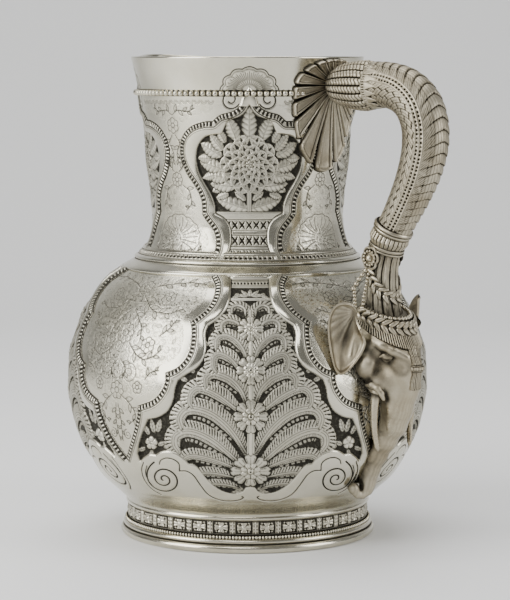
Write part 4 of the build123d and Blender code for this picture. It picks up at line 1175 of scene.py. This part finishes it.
def grip():
    """The cast grip: a dotted seam on each side, lapped lobes over the back, leaf scales within."""
    line = smooth_path(GRIP_LINE, 0.30)
    run = run_along(line)
    girth = np.interp(run, *zip(*GRIP_GIRTH))
    columns = 260
    phi = tau * (np.arange(columns) / columns) - pi
    side = np.abs(phi)[None, :]
    s = run[:, None]
    off = (side - SEAM_AT) * girth[:, None]  # mm round the grip from the dotted seam
    back = off < 0
    # Lobes: each starts at the seam as fine strokes and ends as a thick lapped scale on the back.
    depth = np.clip(-off, 0, None)
    reach = SEAM_AT * girth[:, None]
    share = depth / reach
    phase = (s + 0.85 * depth - 0.030 * depth**2) / LOBE_PITCH
    lobe = phase - np.floor(phase)
    roll = np.sqrt(np.clip(1 - (1 - lobe) ** 2, 0, 1))
    bold = step_up(share, 0.30, 0.62)
    lap = (1 - step_up(lobe, 0.03, 0.20)) * (0.35 + 0.65 * bold) * step_up(depth, 2.0, 3.0)
    strand = np.sin(tau * (s + 1.15 * depth) / 1.1) < -0.2
    fine = strand * step_up(depth, 2.1, 2.8) * (1 - step_up(share, 0.50, 0.72))
    across_lobe = (np.sin(tau * 2.2 * depth / 3.3) < -0.5) * bold
    h_back = -0.30 + 0.30 * roll + 0.75 * roll * bold - 0.14 * fine - 0.08 * across_lobe
    k_back = 0.20 + 0.66 * lap + 0.40 * fine + 0.22 * across_lobe
    # Scales: narrow leaves slanting the other way over the inner side, each with a vein.
    inner = np.clip(off, 0, None)
    phase = (s + 1.7 * inner - 0.05 * inner**2) / SCALE_PITCH
    leaf_no = np.floor(phase)
    scale = phase - leaf_no
    edge = 1 - step_up(scale, 0.04, 0.16)
    vein = line_mark(scale - 0.58, 0.045, 0.04)
    strand = np.sin(tau * (0.55 * s - inner) / 1.0) < -0.45
    notch = np.sin(tau * (inner - 0.4 * s) / 5.2 + leaf_no * 2.4) < -0.86
    clear = step_up(inner, 2.2, 2.9)
    h_in = (-0.25 + 0.45 * np.sqrt(np.clip(scale, 0, 1)) * (1 - 0.5 * scale)
            - clear * (0.10 * vein + 0.07 * strand + 0.2 * notch))
    k_in = 0.22 + clear * (0.50 * edge + 0.30 * vein + 0.20 * strand + 0.40 * notch)
    h = np.where(back, h_back, h_in)
    k = np.where(back, k_back, k_in)
    # The seam: two rows of dots beside a plain rib.
    for row_at in (-0.95, 0.95):
        dots = line_mark(off - row_at, 0.42, 0.15) * (off_middle(s / DOT_PITCH) < 0.27)
        h = h - 0.45 * dots
        k = np.maximum(k, 0.95 * dots)
    seam = line_mark(off, 0.36) + line_mark(np.abs(off) - 1.75, 0.22)
    h = np.where(seam > 0.5, 0.30, h)
    k = np.where(seam > 0.5, 0.06, k)
    k = np.maximum(k, 0.6 * line_mark(np.abs(off) - 2.15, 0.16))
    one_skin("grip_of_lapped_leaves", CAST, "grip", tube(line, girth[:, None] + h, phi), k)


def grip_collar():
    """The gadrooned collar between two doubled rings."""
    line = resample([(91.8, 150.6), (88.6, 144.4), (86.3, 138.4)], 0.2)
    run = np.linspace(0, 1, len(line))[:, None]
    columns = 26 * 12
    phi = around(columns)
    lobe = np.abs(np.cos(13 * phi))[None, :]
    body = np.interp(run, [0, 0.04, 0.10, 0.16, 0.22, 0.28, 0.34, 0.55, 0.74, 0.80, 0.86, 0.92, 0.97,
                           1.0], [7.4, 8.9, 9.4, 8.9, 9.2, 8.6, 8.3, 8.7, 7.6, 8.3, 7.9, 8.4, 8.0, 6.6])
    band = step_up(run, 0.28, 0.36) * (1 - step_up(run, 0.70, 0.78))
    radius = body + band * (0.75 * np.sqrt(lobe) - 0.35)
    groove = sum(line_mark((run - at) * 14, 0.26) for at in (0.165, 0.30, 0.76, 0.88))
    dark = (0.10 + 0.75 * groove + 0.85 * band * (1 - step_up(lobe, 0.1, 0.5)) + 0.8 * (run < 0.03)
            + 0.7 * (run > 0.97))
    one_skin("gadrooned_collar", CAST, "grip_collar", tube(line, radius, phi), dark)


def plume_shaft():
    """The reeded shaft, like bound plumes, between the collar and the headcloth."""
    line = smooth_path([(86.7, 139.6), (84.9, 131), (84.3, 122), (84.6, 112), (85.6, 104)], 0.4)
    run = np.linspace(0, 1, len(line))[:, None]
    columns = 15 * 18
    phi = around(columns)
    reed = np.abs(np.cos(5.5 * phi + 0.35 * np.sin(run * 5)))
    girth = np.interp(run, [0, 0.15, 0.5, 0.75, 1], [6.3, 6.4, 7.0, 8.0, 9.0])
    radius = girth + 0.85 * np.sqrt(reed) - 0.5 + 0.22 * np.cos(22 * phi + 1.0)[None, :] * (reed > 0.5)
    grain = hash_noise(np.round(9 * phi + 0 * run), np.round(run * 14 + 3 * np.sin(5 * phi)))
    dark = (0.32 + 0.56 * (1 - step_up(reed, 0.08, 0.42)) + 0.3 * (1 - step_up(run, 0.0, 0.12))
            + 0.30 * step_up(run, 0.45, 0.9))
    dark = dark + 0.16 * np.clip(grain, 0, 1)
    one_skin("reeded_plume_shaft", CAST, "plume_shaft", tube(line, radius, phi), dark)


ROSETTE_X, ROSETTE_Z = 84.0, 135.6


def rosettes():
    """A six-lobed flower with a ring of beads and a round boss on each side of the shaft."""
    for side, word in ((1, "left"), (-1, "right")):
        shape = Shape()
        n, m = 44, 120
        rho = np.linspace(0.0, 1, n)[:, None]
        b = np.linspace(0, tau, m, endpoint=False)
        edge = 4.9 + 0.95 * np.abs(np.cos(3 * b)) ** 0.7
        lift = 1.1 + 0.55 * hump(rho, 0.86, 0.09) - 0.3 * hump(rho, 0.62, 0.12)
        lift = lift * np.clip((1 - rho) / 0.05, 0, 1) ** 0.5 + 0 * b
        p, q = rho * edge * np.cos(b), rho * edge * np.sin(b)
        grid = np.stack([ROSETTE_X + p, side * (6.9 + lift + 0.10 * p), ROSETTE_Z + q], -1)
        dark = 0.15 + 0.75 * hump(rho, 0.66, 0.16) + 0.6 * (rho > 0.96) + 0 * b
        shape.add_grid(grid, dark)
        for k in range(13):
            c = tau * k / 13
            ball(shape, ROSETTE_X + 3.2 * cos(c), side * 8.35, ROSETTE_Z + 3.2 * sin(c), 0.72)
        ball(shape, ROSETTE_X, side * 8.5, ROSETTE_Z, 1.8, squash=(1, 0.8, 1), rows=12, columns=18)
        shape.piece(f"rosette_{word}_flower", CAST, f"rosette_{word}")


shell()
bulb()
bulb_collar()
grip()
grip_collar()
plume_shaft()
rosettes()

# ---- Elephant's head -----------------------------------------------------------------------------
# The head is modelled as a field of distances: forms are blended into it and cut out of it, and
# its zero surface is turned into a mesh.


class Clay:
    """A block of distance values on a regular lattice, in mm."""

    def __init__(self, low, high, cell):
        self.low, self.cell = np.array(low, float), cell
        axes = [np.arange(a, b, cell) for a, b in zip(low, high)]
        self.x, self.y, self.z = np.meshgrid(*axes, indexing="ij")
        self.field = np.full(self.x.shape, 50.0)

    def blend(self, distance, soft):
        """Adds a form, with a fillet where it meets the rest."""
        h = np.clip(0.5 + 0.5 * (self.field - distance) / soft, 0, 1)
        self.field = self.field * (1 - h) + distance * h - soft * h * (1 - h)

    def carve(self, distance, soft):
        """Cuts a form away, with a soft edge."""
        h = np.clip(0.5 - 0.5 * (self.field + distance) / soft, 0, 1)
        self.field = self.field * (1 - h) - distance * h + soft * h * (1 - h)

    def egg(self, centre, radii, tilt=0.0):
        """Distance to an ellipsoid, tilted about the y axis."""
        x, y, z = self.x - centre[0], self.y - centre[1], self.z - centre[2]
        c, s = cos(tilt), sin(tilt)
        x, z = x * c + z * s, -x * s + z * c
        k = np.sqrt((x / radii[0]) ** 2 + (y / radii[1]) ** 2 + (z / radii[2]) ** 2)
        return (k - 1) * min(radii)

    def rod(self, a, b, ra, rb):
        """Distance to a round-ended rod that tapers from one end to the other."""
        a, b = np.array(a, float), np.array(b, float)
        d = b - a
        t = ((self.x - a[0]) * d[0] + (self.y - a[1]) * d[1] + (self.z - a[2]) * d[2]) / (d @ d)
        t = np.clip(t, 0, 1)
        return np.sqrt((self.x - a[0] - t * d[0]) ** 2 + (self.y - a[1] - t * d[1]) ** 2
                       + (self.z - a[2] - t * d[2]) ** 2) - (ra + (rb - ra) * t)

    def chain(self, points, soft):
        """Blends in rods through (x, y, z, radius) points."""
        for p, q in zip(points[:-1], points[1:]):
            self.blend(self.rod(p[:3], q[:3], p[3], q[3]), soft)

    def sample(self, points):
        """Field values at points, between lattice places."""
        g = np.clip((points - self.low) / self.cell, 0, np.array(self.field.shape) - 1.001)
        i = g.astype(int)
        f = g - i
        total = 0
        for dx in (0, 1):
            for dy in (0, 1):
                for dz in (0, 1):
                    weight = (np.abs(1 - dx - f[:, 0]) * np.abs(1 - dy - f[:, 1])
                              * np.abs(1 - dz - f[:, 2]))
                    total = total + weight * self.field[i[:, 0] + dx, i[:, 1] + dy, i[:, 2] + dz]
        return total

    def skin(self):
        """The zero surface as vertices and quads, one vertex in each cell that it crosses."""
        f = self.field
        shape = np.array(f.shape) - 1
        corner = lambda a, b, c: f[a : a + shape[0], b : b + shape[1], c : c + shape[2]]
        total, count = np.zeros((*shape, 3)), np.zeros(shape)
        for axis in range(3):
            for p in (0, 1):
                for q in (0, 1):
                    at = [p, q]
                    at.insert(axis, 0)
                    end = list(at)
                    end[axis] = 1
                    a, b = corner(*at), corner(*end)
                    cross = (a < 0) != (b < 0)
                    t = np.where(cross, a / np.where(cross, a - b, 1), 0)
                    for k in range(3):
                        total[..., k] += cross * (t if k == axis else at[k])
                    count += cross
        active = count > 0
        index = np.full(shape, -1)
        index[active] = np.arange(active.sum())
        where = np.argwhere(active)
        points = self.low + self.cell * (where + total[active] / count[active][:, None])
        quads = []
        for axis in range(3):
            b_axis, c_axis = [(1, 2), (2, 0), (0, 1)][axis]
            lo = [slice(1, n) for n in shape]
            hi = [slice(1, n) for n in shape]
            lo[axis], hi[axis] = slice(0, shape[axis]), slice(1, shape[axis] + 1)
            a, b = f[tuple(lo)] < 0, f[tuple(hi)] < 0
            where = np.argwhere(a != b)
            turn = a[tuple(where.T)]
            where = where + 1
            where[:, axis] -= 1
            step_b, step_c = np.zeros(3, int), np.zeros(3, int)
            step_b[b_axis], step_c[c_axis] = 1, 1
            ring = [index[tuple((where - o).T)] for o in (0 * step_b, step_b, step_b + step_c, step_c)]
            quad = np.stack(ring, 1)
            quad[~turn] = quad[~turn][:, ::-1]
            quads.append(quad)
        return points, np.vstack(quads)

    def normals(self, points):
        """Directions away from the clay at points."""
        e = self.cell
        g = np.stack([self.sample(points + e * d) - self.sample(points - e * d) for d in np.eye(3)], 1)
        return g / (np.linalg.norm(g, axis=1)[:, None] + 1e-9)


TRUNK = [(94.6, 0, 86, 10.4), (94.8, 0, 77, 8.7), (93.6, 0, 68, 7.0), (91.6, 0, 60.5, 5.8),
         (86.9, 0, 52.6, 4.8), (82.0, 0, 45.4, 4.2), (78.4, 0, 38.4, 3.7), (76.4, 0, 32.6, 3.4),
         (75.6, -0.2, 28.8, 3.2)]
TRUNK_TIP = [(75.6, -0.2, 28.8, 3.1), (75.0, -2.4, 26.8, 2.3), (74.4, -4.8, 26.8, 1.8),
             (73.8, -6.8, 29.6, 2.7)]


CLAY_CELL = 0.45


def model_head():
    """The head and trunk. Returns the clay, so that the tassel can be laid on it."""
    clay = Clay((60, -22, 20), (110, 22, 116), CLAY_CELL)
    clay.blend(clay.egg((86.5, 0, 98), (14.0, 14.0, 13.0)), 2)
    clay.blend(clay.egg((92.4, 0, 88), (11.8, 12.0, 13.5)), 5)
    clay.chain(TRUNK, 2.6)
    clay.chain(TRUNK_TIP, 0.6)
    for s in (1, -1):
        clay.blend(clay.egg((86.8, s * 11.8, 88.0), (6.4, 6.2, 6.6)), 1.8)
        clay.blend(clay.egg((90.0, s * 9.0, 80.0), (6.0, 4.6, 5.6)), 3.0)
        # The hollow under the brow, then the brow itself, the closed eye and its folds.
        clay.carve(clay.rod((93.8, s * 13.6, 94.4), (103.6, s * 8.0, 88.0), 2.4, 3.0), 3.0)
        clay.carve(clay.egg((97.4, s * 12.8, 86.4), (4.6, 2.6, 3.6)), 2.6)
        brow = [(89.4, s * 11.6, 99.6, 2.3), (93.8, s * 10.4, 97.4, 2.4), (97.8, s * 8.2, 95.0, 2.3),
                (102.4, s * 3.8, 92.0, 1.5)]
        clay.chain(brow, 1.1)
        clay.blend(clay.egg((95.6, s * 9.7, 91.6), (2.3, 2.0, 1.7), -0.35), 1.0)
        lid = [(93.2, s * 11.7, 92.1, 0.5), (95.4, s * 11.0, 93.1, 0.8), (98.0, s * 9.2, 91.8, 0.5)]
        clay.chain(lid, 0.5)
        clay.carve(clay.rod((93.8, s * 12.6, 91.2), (97.8, s * 10.2, 90.8), 0.35, 0.25), 0.6)
        # The lip that rolls over the tusk's root.
        lip = [(87.4, s * 13.6, 79.2, 0.9), (90.6, s * 13.9, 79.6, 1.4), (93.2, s * 13.1, 78.2, 1.5),
               (94.5, s * 11.9, 75.8, 1.4), (94.9, s * 10.8, 73.2, 0.9)]
        clay.chain(lip, 0.7)
        clay.blend(clay.rod((91.0, s * 9.4, 82.4), (91.0, s * 10.6, 77.0), 3.4, 2.8), 1.8)
    clay.carve(clay.egg((105.4, 0, 98.6), (3.0, 2.2, 4.4)), 2.4)
    # Faint folds across the trunk.
    bend = clay.z + 0.10 * (clay.x - 80)
    uneven = np.sin(bend * 0.9) * 0.5 + 0.5
    fold = np.sin(tau * bend / 2.3) * 0.055 * uneven * step_up(-clay.z, -80, -60)
    clay.field = clay.field + fold * step_up(clay.z, 26, 30)
    points, quads = clay.skin()
    normal = clay.normals(points)
    # Darker in the head's hollows, by how closed in each point is: oxide kept in the fine crevices, and
    # painted shade in the broader hollows such as under the brow.
    hollow = 0
    for out, weight in ((0.9, 0.70), (2.4, 0.60), (4.5, 0.45)):
        hollow = hollow + weight * np.clip(1 - clay.sample(points + out * normal) / out - 0.06, 0, 1)
    off_bowl = np.hypot(points[:, 0], points[:, 1]) - bowl_radius(points[:, 2])
    quads = quads[(off_bowl > -2.5)[quads].all(1)]
    # Painted shade: the head and trunk darken where they come close to the bowl and where they meet it,
    # and faint painted lengthwise shading runs in stripes down the lower trunk.
    shade_by_bowl = 0.34 * np.clip(1 - (off_bowl - 2) / 8, 0, 1)
    painted_shade = shade_by_bowl + 0.08 * np.sin(points[:, 1] * 4.4) * step_up(-points[:, 2], -80, -68)
    shape = Shape()
    # The darkening laid on the head holds oxide in its crevices, and painted shade in its hollows and
    # beside the bowl.
    shape.add(points, quads,
              np.clip(0.13 + 0.85 * hollow + 0.6 * np.clip(1 - off_bowl / 2.0, 0, 1) + painted_shade, 0, 0.78))
    shape.piece("elephant_head_and_trunk", CAST, "elephant_head")
    return clay


def bowl_radius(z):
    """Radius of the bowl's metal at a level."""
    return np.interp(z, bowl_side[::-1, 1], bowl_side[::-1, 0])


# The ear's edge from its notch at the top of the head, away from the head and round: away, up.
EAR_EDGE = [(-3.3, 11.0), (-3.4, 13.6), (-1.4, 15.9), (2.4, 17.0), (6.2, 15.9), (8.4, 13.0), (9.4, 8.8),
            (9.4, 3.6), (8.5, -2.6), (7.0, -8.6), (5.4, -13.2), (3.8, -15.4), (1.8, -15.8),
            (-1.4, -13.6), (-4.4, -10.0), (-7.0, -5.8), (-8.2, -2.0), (-7.2, 1.4), (-5.2, 5.0),
            (-3.9, 8.2), (-3.3, 11.0)]


EAR_TURN, EAR_THICK = radians(36), 1.6  # how far the ear faces outwards, and its metal


def ear(side, word):
    """A dished ear with a thick rolled rim, and the flap that folds over at its front."""
    rim_line = smooth_path(EAR_EDGE, 0.28)[:-1]
    middle = np.array([0.4, 0.0])
    rho = np.linspace(0, 1, 80)[:, None] ** 0.8
    p = rho * (rim_line[:, 0] - middle[0]) + middle[0]
    q = rho * (rim_line[:, 1] - middle[1]) + middle[1]
    inside_by = (1 - rho) * np.hypot(rim_line[:, 0] - middle[0], rim_line[:, 1])
    rim = hump(inside_by, 0.9, 0.75)
    valley_line = np.interp(q, [-16, -8, -2, 4, 11], [2.4, 1.8, 0.5, -1.5, -3.2])
    d = p - valley_line
    flap = 2.3 * hump(d, -3.4, 2.3) * step_up(-q, -9, -4) * step_up(q, -13, -7)
    valley = 0.62 * hump(d, -0.1, 1.3) * step_up(q, -9, 1)
    ridge = 0.8 * hump(d, 2.3, 1.3) * step_up(q, -6, 5)
    spread = np.arctan2(p + 3.0, 12.5 - q)
    pleat = 0.13 * np.sin(spread * 21) * step_up(inside_by, 0.8, 2.4) * step_up(q, -10, 2)
    dish = -4.2 * (1 - rho**2) ** 0.9
    face = dish + 0.95 * rim + flap - valley + ridge + pleat
    turn = EAR_TURN
    out = np.array([cos(turn), side * sin(turn), 0.0])
    across = np.array([-sin(turn), side * cos(turn), 0.0])
    up = np.array([0.06, 0, 0.998])
    centre = np.array([84.9, side * 23.6, 100.2])

    def place(height):
        return centre + p[..., None] * across + q[..., None] * up + height[..., None] * out

    dark = (0.26 + 0.22 * (1 - rho) * step_up(q, -12, 2) + 0.2 * valley - 0.18 * rim
            + 0.9 * np.clip(-pleat, 0, 1) - 0.08 * flap)
    shape = Shape()
    shape.add_grid(place(face), np.clip(dark, 0.04, 0.9), flip=side > 0)
    thick = EAR_THICK * np.sqrt(np.clip(1 - rho**8, 0, 1))
    shape.add_grid(place(dish - thick), 0.45, flip=side < 0)
    shape.piece(f"ear_{word}_dished", CAST, f"ear_{word}")


def swept(shape, path, radii, dark):
    """A round rod of changing thickness along a path in space."""
    path = np.asarray(path, float)
    tangent = unit(np.gradient(path, axis=0))
    a = unit(np.cross(tangent, [0.0, 1.0, 0.001]))
    b = np.cross(tangent, a)
    phi = np.linspace(0, tau, 26, endpoint=False)
    radii = np.asarray(radii)[:, None, None]
    grid = path[:, None] + radii * (np.cos(phi)[None, :, None] * a[:, None]
                                    + np.sin(phi)[None, :, None] * b[:, None])
    shape.add_grid(grid, dark[:, None], flip=True)


def tusks():
    """The tusks and the rolled sockets that they come out of."""
    for side, word in ((1, "left"), (-1, "right")):
        path = smooth_path([(92.2, side * 11.6, 78.6), (91.6, side * 12.5, 74.0),
                            (91.0, side * 12.7, 66.0), (90.9, side * 12.1, 57.6),
                            (91.9, side * 10.9, 49.2)], 0.4)
        t = np.linspace(0, 1, len(path))
        tip = np.sqrt(np.clip((1 - t) / 0.06, 0, 1))
        radii = (2.15 - 1.15 * t**1.4) * np.clip(tip, 0.02, 1)
        shape = Shape()
        swept(shape, path, radii, 0.06 + 0.7 * (1 - step_up(t, 0.10, 0.24)))
        shape.piece(f"tusk_{word}_curved", CAST, f"tusk_{word}")
        path = smooth_path([(92.8, side * 10.6, 79.6), (92.3, side * 11.5, 78.2),
                            (91.9, side * 12.1, 76.6), (91.7, side * 12.4, 75.2)], 0.3)
        t = np.linspace(0, 1, len(path))
        radii = 2.3 + 0.15 * np.sin(pi * t) - 0.4 * step_up(t, 0.9, 1.0)
        shape = Shape()
        swept(shape, path, radii, 0.18 + 0.6 * step_up(t, 0.95, 1) + 0.5 * hump(t, 0.66, 0.08))
        shape.piece(f"tusk_{word}_socket_roll", CAST, f"tusk_socket_{word}")


# The headcloth spreads from the shaft to the fringe. Each ring of it is an oval that dips in front:
# centre x, reach in front, reach aside, level at the sides, dip in front.
CLOTH_RINGS = [(84.8, 8.8, 9.4, 113.6, 4.0), (85.6, 10.9, 11.4, 111.9, 3.8),
               (86.0, 13.4, 13.0, 110.0, 5.2), (86.0, 14.8, 13.4, 107.4, 6.2),
               (86.0, 17.8, 14.2, 104.6, 9.2), (86.0, 17.2, 13.4, 103.8, 9.2),
               (86.0, 13.0, 10.8, 104.2, 9.0)]


def on_cloth(ring, turn, lift=0.0):
    """A point on the headcloth: ring is a place in the list, turn goes round from the front."""
    values = [np.interp(ring, np.arange(len(CLOTH_RINGS)), [r[k] for r in CLOTH_RINGS])
              for k in range(5)]
    cx, front, aside, level, dip = values
    return np.stack([cx + (front + lift) * np.cos(turn), (aside + lift) * np.sin(turn) + 0 * cx,
                     level - dip * np.cos(turn) + 0.35 * lift], -1)


def headcloth():
    """The cloth over the brow and its combed fringe."""
    ring = np.linspace(0, 6, 150)[:, None]
    turn = np.linspace(-radians(128), radians(128), 700)[None, :]
    comb = np.sin(turn * 86)
    fringe = step_up(ring, 2.95, 3.1) * (1 - step_up(ring, 4.0, 4.3))
    lift = 0.62 * fringe * np.sqrt(np.clip(0.5 + 0.5 * comb, 0,
                                           1)) + 0.45 * line_mark(ring - 2.95, 0.10)
    grid = on_cloth(ring + 0 * turn, turn + 0 * ring, lift)
    dark = np.where(fringe > 0.5, 0.16 + 0.66 * (comb < -0.2),
                    0.62 + 0.12 * np.sin(turn * 40)) + 0.5 * (ring > 4.3)
    shape = Shape()
    shape.add_grid(grid, np.clip(dark, 0, 0.95), closed=False, flip=True)
    shape.piece("headcloth_combed_fringe", CAST, "headcloth_fringe")


def bead_row(shape, path, radius):
    """Round beads threaded closely along a path."""
    for x, y, z in resample(path, 2 * radius):
        ball(shape, x, y, z, radius, 0.06, rows=8, columns=12)


def leaf_row(shape, path, size):
    """Pairs of plump leaves laid along a path, each pair lapping the next."""
    at = resample(path, size * 0.82)
    tangent = unit(np.gradient(at, axis=0))
    centre = np.array([85.0, 0.0, at[:, 2].mean()])
    for p, t in zip(at, tangent):
        out = p - centre
        out[2] = 0.25 * abs(out[0])
        out -= t * (out @ t)
        out /= np.linalg.norm(out)
        side = np.cross(t, out)
        for way in (1, -1):
            heading = t * 0.80 + way * side * 0.60
            v = np.linspace(0.03, pi - 0.03, 9)[:, None]
            u = np.linspace(0, tau, 12, endpoint=False)[None, :]
            long_way = (-np.cos(v) + 0 * u)[..., None] * heading * size * 0.62
            half = np.sin(v) ** 0.9 * (1 - 0.3 * (-np.cos(v)))
            cross = np.cross(heading, out)
            body = ((half * np.cos(u))[..., None] * cross * size * 0.27
                    + (half * np.sin(u))[..., None] * out * size * 0.24)
            middle = p + way * side * size * 0.28 + heading * size * 0.2
            grid = middle + long_way + body
            dark = 0.08 + 0.7 * (half * np.sin(u) < 0.05) + 0.4 * (np.abs(np.cos(u)) < 0.2)
            shape.add_grid(grid, np.clip(dark, 0, 0.9))


def trappings():
    """Beads and leaves over the headcloth and the shaft."""
    turn = np.linspace(-radians(104), radians(104), 200)
    shape = Shape()
    bead_row(shape, on_cloth(0.95 + 0 * turn, turn, 1.0), 1.08)
    shape.piece("bead_swag_over_brow", CAST, "bead_swag")

    shape = Shape()
    leaf_row(shape, on_cloth(2.15 + 0 * turn, turn, 0.5), 4.2)
    t = np.linspace(-1, 1, 60)
    a = t * radians(100)
    upper = np.stack([84.7 + 7.6 * np.cos(a), 8.0 * np.sin(a), 117.8 + 11.4 * np.abs(t) ** 2.2], -1)
    leaf_row(shape, upper, 4.0)
    shape.piece("leaf_garlands", CAST, "leaf_garland")

    for side, word in ((1, "left"), (-1, "right")):
        shape = Shape()
        fine = [(84.0, side * 8.4, 130.2), (83.6, side * 9.8, 124), (83.2, side * 11.2, 118),
                (83.4, side * 12.0, 113.4)]
        big = [(82.4, side * 9.0, 130.0), (80.8, side * 11.6, 126.2), (79.6, side * 14.0, 122.0)]
        end = [(79.8, side * 13.6, 120.4), (80.4, side * 14.0, 117.2), (80.8, side * 14.4, 114.0)]
        for string, radius in ((fine, 0.84), (big, 1.18), (end, 0.9)):
            bead_row(shape, smooth_path(string, 0.3), radius)
        shape.piece(f"bead_chain_{word}_strings", CAST, f"bead_chain_{word}")


def tassel(clay):
    """The tassel on the forehead: loose strands, bound by a knobbed ring, hanging on the clay."""
    t = np.linspace(0, 1, 90)
    b = np.linspace(0, tau, 96, endpoint=False)
    z = 97.0 - 20.0 * t
    reach = np.arange(112, 86, -0.15)
    front = np.array([reach[np.argmax(clay.sample(np.stack([reach, 0 * reach, 0 * reach + level],
                                                           1)) < 0)] for level in z])
    front = np.maximum(front, np.interp(t, [0, 0.3, 1], [102.4, 103.6, 102.8])) + 0.5
    half_wide = np.interp(t, [0, 0.12, 0.40, 0.43, 0.47, 0.55, 0.58, 0.62, 0.66, 0.97, 1.0],
                          [3.6, 3.0, 2.6, 3.2, 3.3, 3.3, 3.2, 2.4, 2.4, 3.0, 2.6])
    deep = np.interp(t, [0, 0.40, 0.44, 0.56, 0.60, 0.97, 1.0], [0.9, 1.3, 2.0, 2.0, 1.4, 1.7, 0.9])
    loose = ((t < 0.42) | (t > 0.58))[:, None]
    strand = 1 + 0.07 * np.sin(18 * b)[None, :] * loose
    bound = ((t > 0.46) & (t < 0.54))[:, None]
    knob = 1 + 0.14 * np.abs(np.sin(7 * b))[None, :] * bound
    grid = np.stack([front[:, None] + deep[:, None] * np.cos(b) * strand * knob,
                     half_wide[:, None] * np.sin(b) * strand * knob,
                     np.broadcast_to(z[:, None], (90, 96))], -1)
    dark = (0.16 + 0.55 * (np.sin(18 * b)[None, :] < -0.3) * loose
            + 0.6 * (np.abs(np.sin(7 * b)) < 0.3)[None, :] * bound)
    for at in (0.425, 0.455, 0.545, 0.58):
        dark = np.maximum(dark, 0.85 * line_mark((t - at) * 20, 0.22)[:, None])
    one_skin("forehead_tassel_bound", CAST, "forehead_tassel", grid, np.clip(dark, 0, 0.9))


clay = model_head()
ear(1, "left")
ear(-1, "right")
tusks()
headcloth()
trappings()
tassel(clay)

# ---- Table, light and camera ---------------------------------------------------------------------

CAMERA_TURN = radians(44)  # round from the view along +Y
CAMERA_AWAY, CAMERA_HIGH = 1.150, 0.225
CAMERA_DOWN, CAMERA_ASIDE = radians(5.69), radians(0.177)
FOCAL_MM = 145.8
BEND_STARTS, BEND_RADIUS = 0.9, 0.8  # where the floor starts to curve up behind the pitcher
LIGHTS_AIM = (0, 0, 0.11)
ROOM_COLOUR, ROOM_STRENGTH = "C9CACB", 0.42


def pale_finish(name, colour, rough):
    """Board painted with flat emulsion: plain, with no shine."""
    material = bpy.data.materials.new(name)
    material.use_nodes = True
    tree = material.node_tree
    tree.nodes.clear()
    shader = wire_in(tree, "ShaderNodeBsdfPrincipled", Base_Color=linear(colour), Roughness=rough)
    out = wire_in(tree, "ShaderNodeOutputMaterial")
    tree.links.new(shader.outputs[0], out.inputs[0])
    return material


def pale_sweep():
    """A floor that curves up into a back wall behind the pitcher, as seen by the camera."""
    flat = [(-2.6, 0.0), (BEND_STARTS, 0.0)]
    bend = [(BEND_STARTS + BEND_RADIUS * sin(a), BEND_RADIUS - BEND_RADIUS * cos(a))
            for a in np.linspace(0, pi / 2, 24)[1:]]
    path = np.array(flat + bend + [(BEND_STARTS + BEND_RADIUS, 3.0)])
    across = np.linspace(-3.0, 3.0, 3)
    back = np.array([-sin(CAMERA_TURN), cos(CAMERA_TURN)])
    side = np.array([cos(CAMERA_TURN), sin(CAMERA_TURN)])
    ground = path[:, 0, None, None] * back + across[None, :, None] * side
    grid = np.concatenate([ground, np.repeat(path[:, 1, None, None], 3, 1)], -1)
    mesh = bpy.data.meshes.new("pale_sweep")
    mesh.from_pydata(grid.reshape(-1, 3).tolist(), [], grid_faces(len(path), 3).tolist())
    mesh.polygons.foreach_set("use_smooth", [True] * len(mesh.polygons))
    mesh.materials.append(pale_finish("matt_grey_board", "ECECEB", 0.85))
    sweep = bpy.data.objects.new("pale_sweep", mesh)
    bpy.context.collection.objects.link(sweep)


def soft_light(name, turn, high, away, size, power):
    """A large soft panel, turned from the camera's direction, aimed at the pitcher."""
    lamp = bpy.data.lights.new(name, "AREA")
    lamp.shape = "RECTANGLE"
    lamp.size, lamp.size_y = size
    lamp.energy = power
    panel = bpy.data.objects.new(name, lamp)
    a = CAMERA_TURN + radians(turn)
    panel.location = (away * sin(a), -away * cos(a), high)
    reach = [LIGHTS_AIM[k] - panel.location[k] for k in range(3)]
    flat = sqrt(reach[0] ** 2 + reach[1] ** 2)
    panel.rotation_euler = (pi / 2 + atan2(reach[2], flat), 0, atan2(reach[1], reach[0]) - pi / 2)
    bpy.context.collection.objects.link(panel)


pale_sweep()
soft_light("left_panel", -62, 0.62, 1.25, (0.9, 1.1), 21.0)
soft_light("right_panel", 68, 0.55, 1.35, (0.7, 1.0), 10.0)
soft_light("top_panel", -160, 1.55, 0.35, (1.3, 1.1), 19.0)
soft_light("front_panel", -12, 1.30, 1.30, (0.9, 0.5), 7.0)

world = bpy.data.worlds.new("pale_room")
bpy.context.scene.world = world
world.use_nodes = True
world.node_tree.nodes["Background"].inputs[0].default_value = linear(ROOM_COLOUR)
world.node_tree.nodes["Background"].inputs[1].default_value = ROOM_STRENGTH

lens = bpy.data.cameras.new("camera")
lens.lens = FOCAL_MM
lens.sensor_width = 36.0
lens.clip_start = 0.05
camera = bpy.data.objects.new("camera", lens)
camera.location = (CAMERA_AWAY * sin(CAMERA_TURN), -CAMERA_AWAY * cos(CAMERA_TURN), CAMERA_HIGH)
camera.rotation_euler = (pi / 2 - CAMERA_DOWN, 0, CAMERA_TURN - CAMERA_ASIDE)
bpy.context.collection.objects.link(camera)
bpy.context.scene.camera = camera
